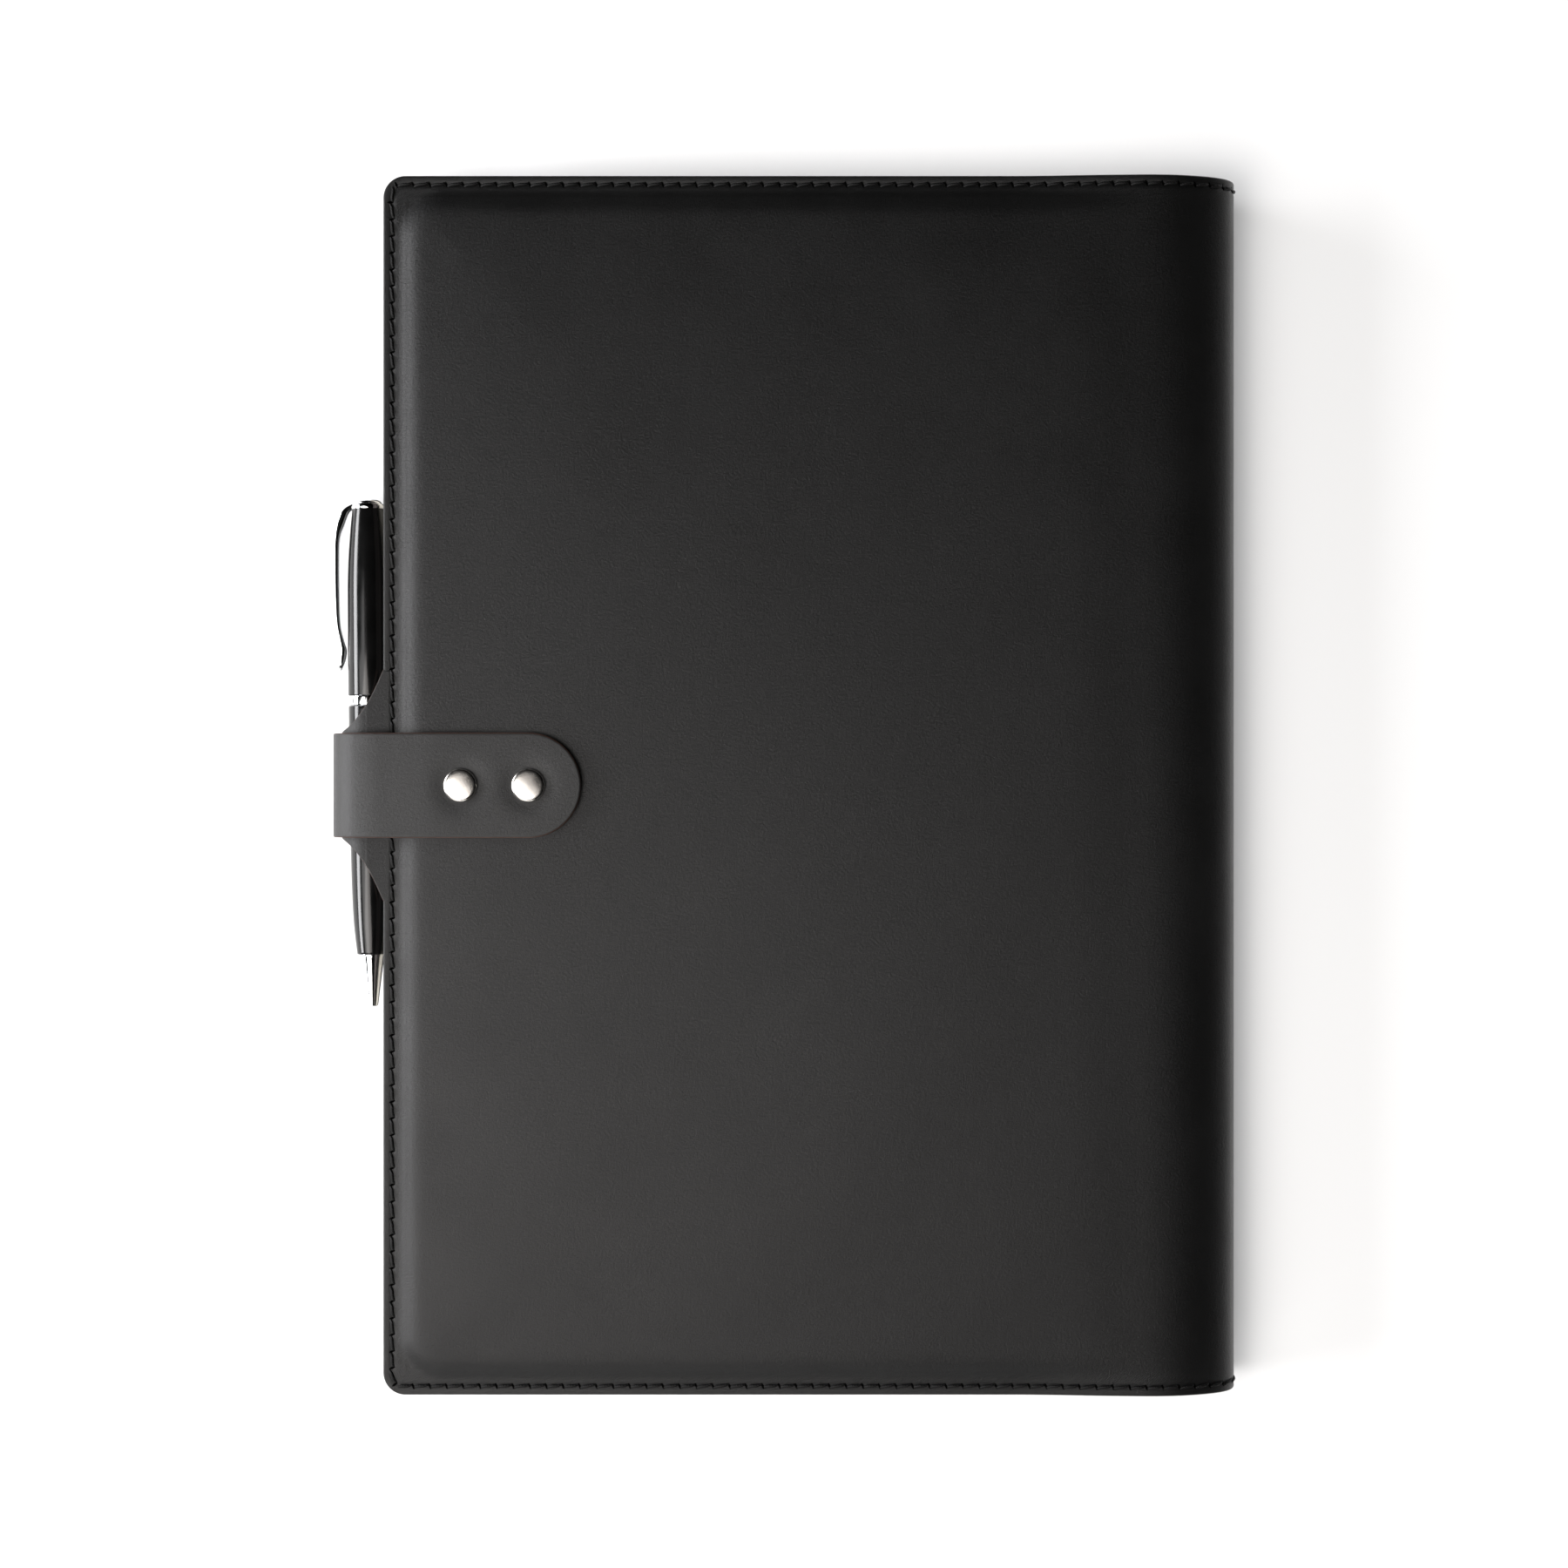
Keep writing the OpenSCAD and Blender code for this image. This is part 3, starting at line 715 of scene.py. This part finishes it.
def rounded_path(corners, radii, step=0.5 * MM):
    """Dense points along a polyline in X and Z whose corners are rounded."""
    out = []
    start = np.array(corners[0], float)
    for k in range(1, len(corners)):
        b = np.array(corners[k], float)
        if k == len(corners) - 1:
            out += line_points(start, b, step)
            out.append(b)
            break
        c = np.array(corners[k + 1], float)
        u, v = (b - np.array(corners[k - 1])), (c - b)
        u, v = u / np.linalg.norm(u), v / np.linalg.norm(v)
        turn = math.acos(np.clip(u @ v, -1, 1))
        cut = radii[k - 1] * math.tan(turn / 2)
        first, last = b - u * cut, b + v * cut
        out += line_points(start, first, step)
        side = np.array([-u[1], u[0]]) * (1 if u[0] * v[1] - u[1] * v[0] > 0 else -1)
        centre = first + side * radii[k - 1]
        n = max(3, int(radii[k - 1] * turn / step))
        arm = first - centre
        sign = 1 if u[0] * v[1] - u[1] * v[0] > 0 else -1
        for i in range(n):
            a = sign * turn * i / n
            out.append(centre + np.array([arm[0] * math.cos(a) - arm[1] * math.sin(a),
                                          arm[0] * math.sin(a) + arm[1] * math.cos(a)]))
        start = last
    return np.array(out)


def line_points(a, b, step):
    n = max(1, int(np.linalg.norm(b - a) / step))
    return [a + (b - a) * i / n for i in range(n)]


def no_dimple(_, y):
    return 0 * y, 0 * y


def ribbon(name, path, thickness, half_width, inset, materials, flip=False, dimple=no_dimple):
    """A strip of leather that follows a path in X and Z. half_width(s) is its outline, inset(s, y) the
    distance from its cut edge. Its outer face is on the left of the path, or on the right with flip."""
    tangent = np.gradient(path, axis=0)
    tangent /= np.linalg.norm(tangent, axis=1)[:, None]
    normal = np.stack([-tangent[:, 1], tangent[:, 0]], 1) * (-1 if flip else 1)
    s = distances(path)
    near = np.array([0, 0.06, 0.2, 0.45, 0.8, 1.3]) * MM
    across = np.linspace(-1, 1, 25)
    rows_outer, rows_inner, rows_uv = [], [], []
    for k in range(len(path)):
        half = max(half_width(s[k]), 0.05 * MM)
        edge = near * min(1, half / (4 * MM))
        body = across[1:-1] * (half - edge[-1])
        y = np.concatenate([-half + edge, body, (half - edge)[::-1]])
        along = np.full_like(y, s[k])
        rim = np.clip(1 - np.maximum(inset(along, y), 0) / EDGE_R, 0, 1)
        drop = EDGE_R * (1 - np.sqrt(1 - rim ** 2)) * 0.8
        dent_out, dent_in = dimple(along, y)
        for rows, off in ((rows_outer, thickness / 2 - drop - dent_out),
                          (rows_inner, -thickness / 2 + drop * 0.6 + dent_in)):
            rows.append(np.stack([path[k, 0] + normal[k, 0] * off, y, path[k, 1] + normal[k, 1] * off], 1))
        rows_uv.append(np.stack([along, y], 1))
    outer, inner, uv = (np.array(r) for r in (rows_outer, rows_inner, rows_uv))
    if not flip:
        outer, inner, uv = outer[:, ::-1], inner[:, ::-1], uv[:, ::-1]
    obj = shell(name, outer, inner, materials, uv, edge_columns=2)
    merge_doubles(obj)
    return obj


def respaced(path, lengths):
    """The same path with its points at these distances from its start."""
    s = distances(path)
    return np.stack([np.interp(lengths, s, path[:, c]) for c in (0, 1)], 1)


# ---------------------------------------------------------------- slabs: boards, pockets, pages

def plan_ring(inset, r, x_end, z):
    """Outline at height z: round corners at the fore edge, nearly square ones at the spine."""
    steps = 8
    x_start, half = FORE_X + inset, HALF_L - inset
    ring = []
    for cx, cy, radius, a0 in ((x_start + r, -half + r, r, 180), (x_end - MM, -half + MM, MM, 270),
                               (x_end - MM, half - MM, MM, 0), (x_start + r, half - r, r, 90)):
        for k in range(steps + 1):
            a = math.radians(a0 + 90 * k / steps)
            ring.append((cx + radius * math.cos(a), cy + radius * math.sin(a), z))
    return ring


def slab(name, rings, material, edge):
    """A closed slab through rings of points, lowest first, with its own material on the edge."""
    n = len(rings[0])
    verts = [p for ring in rings for p in ring]
    sides = walls(len(rings), n)
    top = tuple((len(rings) - 1) * n + k for k in range(n))
    faces = [tuple(range(n))[::-1]] + sides + [top]
    slots = [0] + [1] * len(sides) + [0]
    uv = [(p[0], p[1]) for p in verts]
    return make_mesh(name, verts, faces, [material, edge], slots, 30, uv)


def bevelled(name, inset, r, x_end, z0, z1, bevel, material, edge):
    rings = [plan_ring(inset + d, r - d, x_end - d, z)
             for d, z in ((bevel, z0), (bevel * 0.3, z0 + bevel * 0.3), (0, z0 + bevel),
                          (0, z1 - bevel), (bevel * 0.3, z1 - bevel * 0.3), (bevel, z1))]
    return slab(name, rings, material, edge)


def page_block(name, z_out, z_mid):
    """Sheets with slightly uneven edges, thinner beside the spine. z_out is on the cover's side."""
    x_hinge, layers = LEAVES_HIGH.x - 0.15 * MM, 26
    pinch_w, pinch_ramp, pinch = 27 * MM, 18 * MM, 2.3 * MM
    columns = (LEAVES_LOW.x, x_hinge - pinch_w - pinch_ramp, x_hinge - pinch_w, x_hinge)
    thick = abs(z_mid - z_out)
    shares = (1, 1, 1 - pinch / thick, 1 - pinch / thick)
    rings = []
    for k in range(layers + 1):
        t = k / layers
        for _ in range(2 if 0 < k < layers else 1):
            out_x, out_y = random.uniform(0, 0.22) * MM, random.uniform(0, 0.18) * MM
            half = LEAVES_HIGH.y - out_y
            low = [(x + (out_x if i == 0 else 0), -half, z_mid + (z_out - z_mid) * share * t)
                   for i, (x, share) in enumerate(zip(columns, shares))]
            rings.append(low + [(x, -y, z) for x, y, z in reversed(low)])
    n = len(rings[0])
    verts = [p for ring in rings for p in ring]
    faces, slots = [], []
    for base, flip in ((0, True), ((len(rings) - 1) * n, False)):
        for i in range(3):
            quad = (base + i, base + i + 1, base + n - 2 - i, base + n - 1 - i)
            faces.append(quad[::-1] if flip else quad)
            slots.append(0)
    faces += walls(len(rings), n)
    slots += [1] * (len(faces) - len(slots))
    obj = make_mesh(name, verts, faces, [PAPER, PAGE_EDGES], slots, 30)
    merge_doubles(obj, 1e-7)
    return obj


# ---------------------------------------------------------------- the cover

def build_cover():
    for side, end in ((1, "front"), (-1, "back")):
        skin = cover_sheet(f"{end}_leather", side, 0, LEATHER_T, [LEATHER, FLESH, EDGE])
        across_fold(skin, side)
        lining = cover_sheet(f"{end}_woven_lining", side, LEATHER_T, SKIN_T, [LINING] * 3, fine=False)
        across_fold(lining, side)
        threads = build_stitches(f"{end}_threads", side)
        across_fold(threads, side)
        if side > 0:
            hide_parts("front_cover_leather", "spine_leather")
            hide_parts("front_lining", "spine_lining")
            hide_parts("front_stitching", "spine_stitching")
        else:
            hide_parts("back_cover_leather")
            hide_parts("back_lining")
            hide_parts("back_stitching")
        build_inside(side, end)


def flipped(side, low, high):
    """Heights of a layer of the front cover, or of the same layer of the back."""
    return (low, high) if side > 0 else (COVER_H - high, COVER_H - low)


def build_inside(side, end):
    """Pocket, board and the cloth that joins the board to the notebook's spine."""
    _, pocket_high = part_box(f"{end}_pocket")
    z0, z1 = flipped(side, COVER_H - STACK_T, COVER_H - STACK_T + POCKET_T)
    pocket = bevelled(f"{end}_pocket_panel", 0.1 * MM, CORNER_R, pocket_high.x, z0, z1, 0.3 * MM,
                      LEATHER_INNER, EDGE)
    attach(pocket, end)
    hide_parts(f"{end}_pocket")
    board_low, board_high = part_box(f"notebook_{end}_board")
    board = bevelled(f"{end}_board", board_low.x - FORE_X, 3 * MM, board_high.x,
                     board_low.z, board_high.z, 0.35 * MM, ENDPAPER, BOARD_CLOTH)
    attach(board, end)
    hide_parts(f"notebook_{end}_board")
    strip_low, strip_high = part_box("notebook_spine")
    inner_z = COVER_H - STACK_T + POCKET_T
    cloth_t = 0.3 * MM
    turn_x = strip_low.x - cloth_t / 2 - 0.05 * MM
    corners = [(board_high.x - 8 * MM, inner_z - cloth_t * 0.6), (board_high.x + MM, inner_z - 0.2 * MM),
               (board_high.x + 10 * MM, inner_z - 0.9 * MM), (turn_x - 0.7 * MM, FOLD.z - 0.7 * MM),
               (turn_x, strip_high.z - 0.2 * MM), (turn_x, MID_Z)]
    path = rounded_path(corners, [4 * MM, 8 * MM, 0.8 * MM, 0.8 * MM])
    if side < 0:
        path[:, 1] = COVER_H - path[:, 1]
    half = strip_high.y
    cloth = ribbon(f"{end}_hinge_cloth", path, cloth_t, lambda s: half, lambda s, y: half - np.abs(y),
                   [BOARD_CLOTH] * 3, flip=side < 0)
    across_fold(cloth, side)


def dress(node, material):
    """Gives a part that stays as the frame has it a finished material."""
    mesh = frame["nodes"][node].data
    mesh.materials.clear()
    mesh.materials.append(material)


def build_pages():
    lower = page_block("lower_pages", STACK_T, MID_Z - 0.1 * MM)
    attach(lower, "back")
    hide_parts("lower_leaves")
    upper = page_block("upper_pages", LEAVES_HIGH.z, LEAVES_LOW.z)
    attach(upper, "leaves")
    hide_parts("upper_leaves")
    dress("notebook_spine", BOARD_CLOTH)


# ---------------------------------------------------------------- pen loop and strap

def build_loop():
    """The bell-shaped tab of the front leather: over the pen, round it and back under the rim."""
    r = LOOP_BORE_R + LOOP_T / 2
    cx, cz = PEN_AT.x, PEN_AT.z
    rim_z = COVER_H - RIM_DROP
    top_z = rim_z - LOOP_T / 2
    start = [(FORE_X + 1.95 * MM, top_z - 0.10 * MM)]
    start += [(x, top_z + 0.03 * MM) for x in np.arange(FORE_X + 1.6 * MM, cx, -0.3 * MM)]
    a = np.radians(np.arange(90, 346, 3))
    ring = [(cx + r * math.cos(t), cz + r * math.sin(t)) for t in a]
    tail_z = COVER_H - STACK_T - LOOP_T / 2 - 0.05 * MM
    last = np.array(ring[-1])
    lead = np.array([math.cos(a[-1] + math.pi / 2), math.sin(a[-1] + math.pi / 2)])
    elbow = last + lead * ((tail_z - last[1]) / lead[1])
    tail = rounded_path([last, elbow, (elbow[0] + 5.5 * MM, tail_z)], [3 * MM], 0.4 * MM)
    path = np.array(start + ring[:-1] + [tuple(p) for p in tail])
    length = distances(path)
    _, loop_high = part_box("pen_loop")
    tail_half = 14 * MM
    flare = loop_high.y - tail_half
    reach = 12.5 * MM
    out = np.clip((FORE_X - path[:, 0]) / reach, 0, 1)
    widths = tail_half + flare * (1 - out) ** 1.85
    turned = length > length[int(np.argmin(path[:, 0]))]
    widths[turned] = tail_half

    def half_width(s):
        return float(np.interp(s, length, widths))

    def inset(s, y):
        return np.interp(s, length, widths) - np.abs(y)

    materials = [LEATHER_PLAIN, FLESH, STRAP_EDGE]
    loop = ribbon("pen_loop_leather", path, LOOP_T, half_width, inset, materials, flip=True)
    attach(loop, "front")
    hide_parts("pen_loop")


def build_strap():
    """One strip: out of the back's fore edge, up outside the pen and over the front."""
    t = STRAP_T
    flat_z = TONGUE_HIGH.z - t / 2
    corners = [(FORE_X + 1.5 * MM, STRAP_LOW.z + 0.02 * MM), (STRAP_LOW.x, STRAP_LOW.z),
               (STRAP_TOP.x, STRAP_TOP.z - 1.3 * MM), (FORE_X - 3.5 * MM, flat_z - 1.2 * MM),
               (FORE_X + 14 * MM, flat_z), (TONGUE_HIGH.x, flat_z)]
    path = rounded_path(corners, [5 * MM, 8.6 * MM, 36 * MM, 120 * MM], 0.35 * MM)
    off_middle = np.abs(path[:, 1] - (STRAP_LOW.z + STRAP_TOP.z) / 2)
    off_middle[path[:, 0] > STRAP_LOW.x + t] = np.inf
    middle = int(np.argmin(off_middle))
    half = STRAP_HALF_W
    materials = [STRAP_LEATHER, FLESH, STRAP_EDGE]
    lower = ribbon("strap_lower_leather", path[:middle + 1], t, lambda s: half,
                   lambda s, y: half - np.abs(y), materials)
    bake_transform(lower)
    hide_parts("strap_riser")

    upper_path = path[middle:]
    total = distances(upper_path)[-1]
    body_l = total - half
    round_end = body_l + half * np.sin(np.linspace(0, math.pi / 2, 48))
    stations = np.concatenate([np.arange(0, body_l, 0.5 * MM), round_end])
    upper_path = respaced(upper_path, stations)

    def half_width(s):
        return math.sqrt(max(half ** 2 - max(s - body_l, 0) ** 2, 0))

    def inset(s, y):
        return np.where(s > body_l, half - np.hypot(s - body_l, y), half - np.abs(y))

    def dimple(s, y):
        """Leather drawn in a little round the caps, and cut back from the sockets underneath."""
        dent_out, dent_in = 0 * y, 0 * y
        for x in SNAP_X:
            r = np.hypot(s - (total - (TONGUE_HIGH.x - x)), y)
            dent_out += DENT_D * np.exp(-(np.maximum(r - DENT_R, 0) / DENT_W) ** 2)
            dent_in += SOCKET_CUT * ease((SOCKET_R - r) / (0.8 * MM))
        return dent_out, dent_in

    upper = ribbon("strap_upper_leather", upper_path, t, half_width, inset, materials, dimple=dimple)
    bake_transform(upper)
    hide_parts("strap_tongue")


def build_snaps():
    """Domed caps on the strap. Sockets, studs and posts keep the frame's shapes."""
    outline = [(r * MM, z * MM) for r, z in smooth_points([
        (4.02, 0.0), (4.30, 0.10), (4.42, 0.42), (4.37, 0.84), (4.14, 1.20),
        (3.70, 1.41), (2.8, 1.52), (1.4, 1.58), (0.0, 1.60)], 5)]
    outline = [(0, -0.15 * MM), (1.2 * MM, -0.15 * MM), (1.2 * MM, 0)] + outline
    cap_seat = TONGUE_HIGH.z - 0.50 * MM
    for k, x in enumerate(SNAP_X):
        cap = lathe(f"snap_cap_{k + 1}", outline, 72, NICKEL)
        cap.location = (x, 0, cap_seat)
        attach(cap, "strap_tongue")
        if k == 0:
            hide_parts("snap_caps")
    for node in ("snap_sockets", "snap_studs", "snap_posts"):
        dress(node, NICKEL)


# ---------------------------------------------------------------- pen

def lay_along_pen(obj):
    """Turns a piece built along +Z round the origin into the pen's place."""
    turn = Vector((0, 0, 1)).rotation_difference(PEN_AXIS).to_matrix().to_4x4()
    obj.data.transform(turn)
    obj.location = PEN_AT
    return obj


def pen_piece(name, outline, material, body, node):
    """A turned piece of the pen. Heights of its outline are in millimetres from the middle of the loop."""
    obj = lay_along_pen(lathe(name, [(r * MM, z * MM) for r, z in outline], 96, material))
    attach(obj, body)
    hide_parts(node)


def build_pen():
    """Outlines of (radius, height) in millimetres along the pen, its crown up."""
    shoulder, crown_z, crown_r = 48.8, 73.2, 4.2
    upper = [(5.7 - (5.7 - crown_r) * ((z - shoulder) / (crown_z - shoulder)) ** 2.2, z)
             for z in np.linspace(shoulder, crown_z, 22)]
    pen_piece("pen_cap_barrel", [(3.7, 23.85), (5.5, 23.85), (5.66, 23.93), (5.7, 24.1), (5.7, 36)] + upper
              + [(4.0, 73.25), (0, 73.25)], LACQUER, "pen_upper", "pen_upper_barrel")
    pen_piece("pen_crown_ring", [(0, 73.15), (4.22, 73.15), (4.36, 73.2), (4.42, 73.35), (4.42, 73.9),
                                 (4.36, 74.25), (4.2, 74.5), (3.9, 74.62), (0, 74.62)],
              CHROME, "pen_upper", "pen_top_ring")
    dome = [(3.6 * math.cos(a), 74.6 + 1.65 * math.sin(a)) for a in np.linspace(0, math.pi / 2, 14)]
    pen_piece("pen_crown_dome", [(0, 74.5), (3.6, 74.5)] + dome,
              CHROME, "pen_upper", "pen_dome")
    ring = [(3.7, 21.15), (5.45, 21.15), (5.66, 21.20), (5.75, 21.36), (5.76, 21.6),
            (5.76, 23.3), (5.75, 23.54), (5.66, 23.70), (5.45, 23.75), (3.7, 23.75)]
    pen_piece("pen_middle_ring", ring, CHROME, "pen_upper", "pen_centre_ring")
    lower = smooth_points([(5.60, 20.8), (5.58, 10), (5.50, -4), (5.40, -17), (5.16, -28),
                           (4.72, -37), (3.92, -44.6)], 8)
    pen_piece("pen_writing_barrel", [(3.7, 21.0), (5.45, 21.0), (5.57, 20.93)] + lower
              + [(3.85, -44.7), (2.3, -44.7)], LACQUER, "pen_lower", "pen_lower_barrel")
    pen_piece("pen_tip", [(2.0, -44.65), (3.3, -44.65), (3.36, -44.9), (3.2, -45.6), (2.35, -51.8),
                          (1.62, -57.6), (1.52, -58.35), (1.35, -58.5), (1.0, -58.5), (1.0, -50)],
              CHROME, "pen_lower", "pen_tip_cone")
    build_clip()
    dress("pen_twist_mechanism", STEEL)
    dress("refill_tube", STEEL)
    dress("refill_point", CHROME)


def build_clip():
    """Sprung clip: out from the crown, along the barrel, in to touch it and out again at the end."""
    outer = smooth_points([(-3.0, 75.25), (-6.4, 73.6), (-8.2, 70.6), (-9.0, 66.4), (-9.3, 60), (-9.3, 50),
                           (-9.1, 44), (-8.75, 40), (-8.5, 36.5), (-8.35, 33), (-8.0, 30.5)], 7)
    inner = smooth_points([(-3.6, 73.55), (-5.1, 72.1), (-6.3, 69.0), (-7.45, 65.6), (-7.75, 60), (-7.75, 50),
                           (-7.5, 42.5), (-6.6, 38.2), (-5.98, 35.8), (-6.4, 32.9), (-7.4, 30.55)], 7)
    count, around = len(outer), 16
    verts = []
    for i in range(count):
        t = i / (count - 1)
        half_w = (1.25 + 0.55 * math.sin(math.pi * min(1, 0.15 + t))) * min(1, 0.35 + 9 * (1 - t))
        o, n = np.array(outer[i]), np.array(inner[i])
        mid, half = (o + n) / 2, (o - n) / 2
        for k in range(around):
            a = 2 * math.pi * k / around
            c, s = math.cos(a), math.sin(a)
            squared_c, squared_s = math.copysign(abs(c) ** 0.7, c), math.copysign(abs(s) ** 0.7, s)
            x, z = mid + half * squared_c
            verts.append((x * MM, half_w * squared_s * MM, z * MM))
    faces = walls(count, around)
    faces.append(tuple(range(around))[::-1])
    faces.append(tuple((count - 1) * around + k for k in range(around)))
    clip = make_mesh("pen_spring_clip", verts, faces, [CHROME], sharp=50)
    merge_doubles(clip)
    lay_along_pen(clip)
    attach(clip, "pen_upper")
    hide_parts("pen_clip")


# ---------------------------------------------------------------- stage

# Softboxes: azimuth from +X and angle from straight up in degrees, distance, width and height in metres,
# power in watts, colour
LIGHTS = [
    ("side_softbox", 200, 34, 1.5, 0.85, 0.80, 5.7, (1.0, 0.99, 0.985)),
    ("front_softbox", 219, 26, 0.85, 0.46, 0.46, 2.75, (1.0, 0.95, 0.915)),
    ("low_softbox", 176, 71, 1.3, 1.20, 0.42, 24, (0.98, 0.98, 1.0)),
    ("near_softbox", 254, 64, 1.3, 1.20, 0.50, 4, (1.0, 0.99, 0.98)),
]
CEILING_POWER = 1.65
CEILING_SPREAD = math.radians(60)
BACKDROP_WHITE = 0.92
TABLE_WHITE = 0.9
TABLE_HALF = 6


def add_softbox(name, azimuth, tilt, distance, width, height, power, colour):
    light = bpy.data.lights.new(name, "AREA")
    light.shape = "RECTANGLE"
    light.size, light.size_y = width, height
    light.energy = power
    light.color = colour
    obj = bpy.data.objects.new(name, light)
    bpy.context.scene.collection.objects.link(obj)
    turn, lean = math.radians(azimuth), math.radians(tilt)
    away = Vector((math.sin(lean) * math.cos(turn), math.sin(lean) * math.sin(turn), math.cos(lean)))
    obj.location = away * distance
    obj.rotation_euler = away.to_track_quat("Z", "Y").to_euler()
    obj.visible_camera = False


def add_ceiling():
    """Soft light from straight above that lights the whole table alike and isn't mirrored."""
    light = bpy.data.lights.new("ceiling", "SUN")
    light.energy = CEILING_POWER
    light.angle = CEILING_SPREAD
    obj = bpy.data.objects.new("ceiling", light)
    obj.visible_glossy = False
    bpy.context.scene.collection.objects.link(obj)


def build_backdrop():
    """White behind the table. It lights nothing and polished parts don't mirror it."""
    world = bpy.data.worlds.new("studio")
    bpy.context.scene.world = world
    world.use_nodes = True
    world.node_tree.nodes["Background"].inputs["Color"].default_value = (1, 1, 1, 1)
    world.node_tree.nodes["Background"].inputs["Strength"].default_value = BACKDROP_WHITE
    world.cycles_visibility.glossy = False
    world.cycles_visibility.diffuse = False


def build_stage():
    """White table under soft studio light from the left."""
    white = Nodes("white_table")
    white.set(Base_Color=grey(TABLE_WHITE), Roughness=1.0, Specular_IOR_Level=0.0)
    corners = [(-TABLE_HALF, -TABLE_HALF, 0), (TABLE_HALF, -TABLE_HALF, 0),
               (TABLE_HALF, TABLE_HALF, 0), (-TABLE_HALF, TABLE_HALF, 0)]
    make_mesh("table", corners, [(0, 1, 2, 3)], [white.material])
    build_backdrop()
    add_ceiling()
    for light in LIGHTS:
        add_softbox(*light)
    bpy.context.scene.view_settings.view_transform = "Standard"


def build_camera():
    """Straight above the cover, a little towards the pen."""
    above_front = 650 * MM
    from_fore_edge = 105.2 * MM
    off_middle = 0.35 * MM
    view = math.radians(35)
    camera = bpy.data.cameras.new("camera")
    camera.sensor_width = 36
    camera.lens = camera.sensor_width / 2 / math.tan(view / 2)
    camera.clip_end = 20
    obj = bpy.data.objects.new("camera", camera)
    bpy.context.scene.collection.objects.link(obj)
    obj.location = (FORE_X + from_fore_edge, off_middle, COVER_H + above_front)
    bpy.context.scene.camera = obj


# ---------------------------------------------------------------- everything

build_camera()
build_stage()
build_cover()
build_pages()
build_loop()
build_strap()
build_snaps()
build_pen()
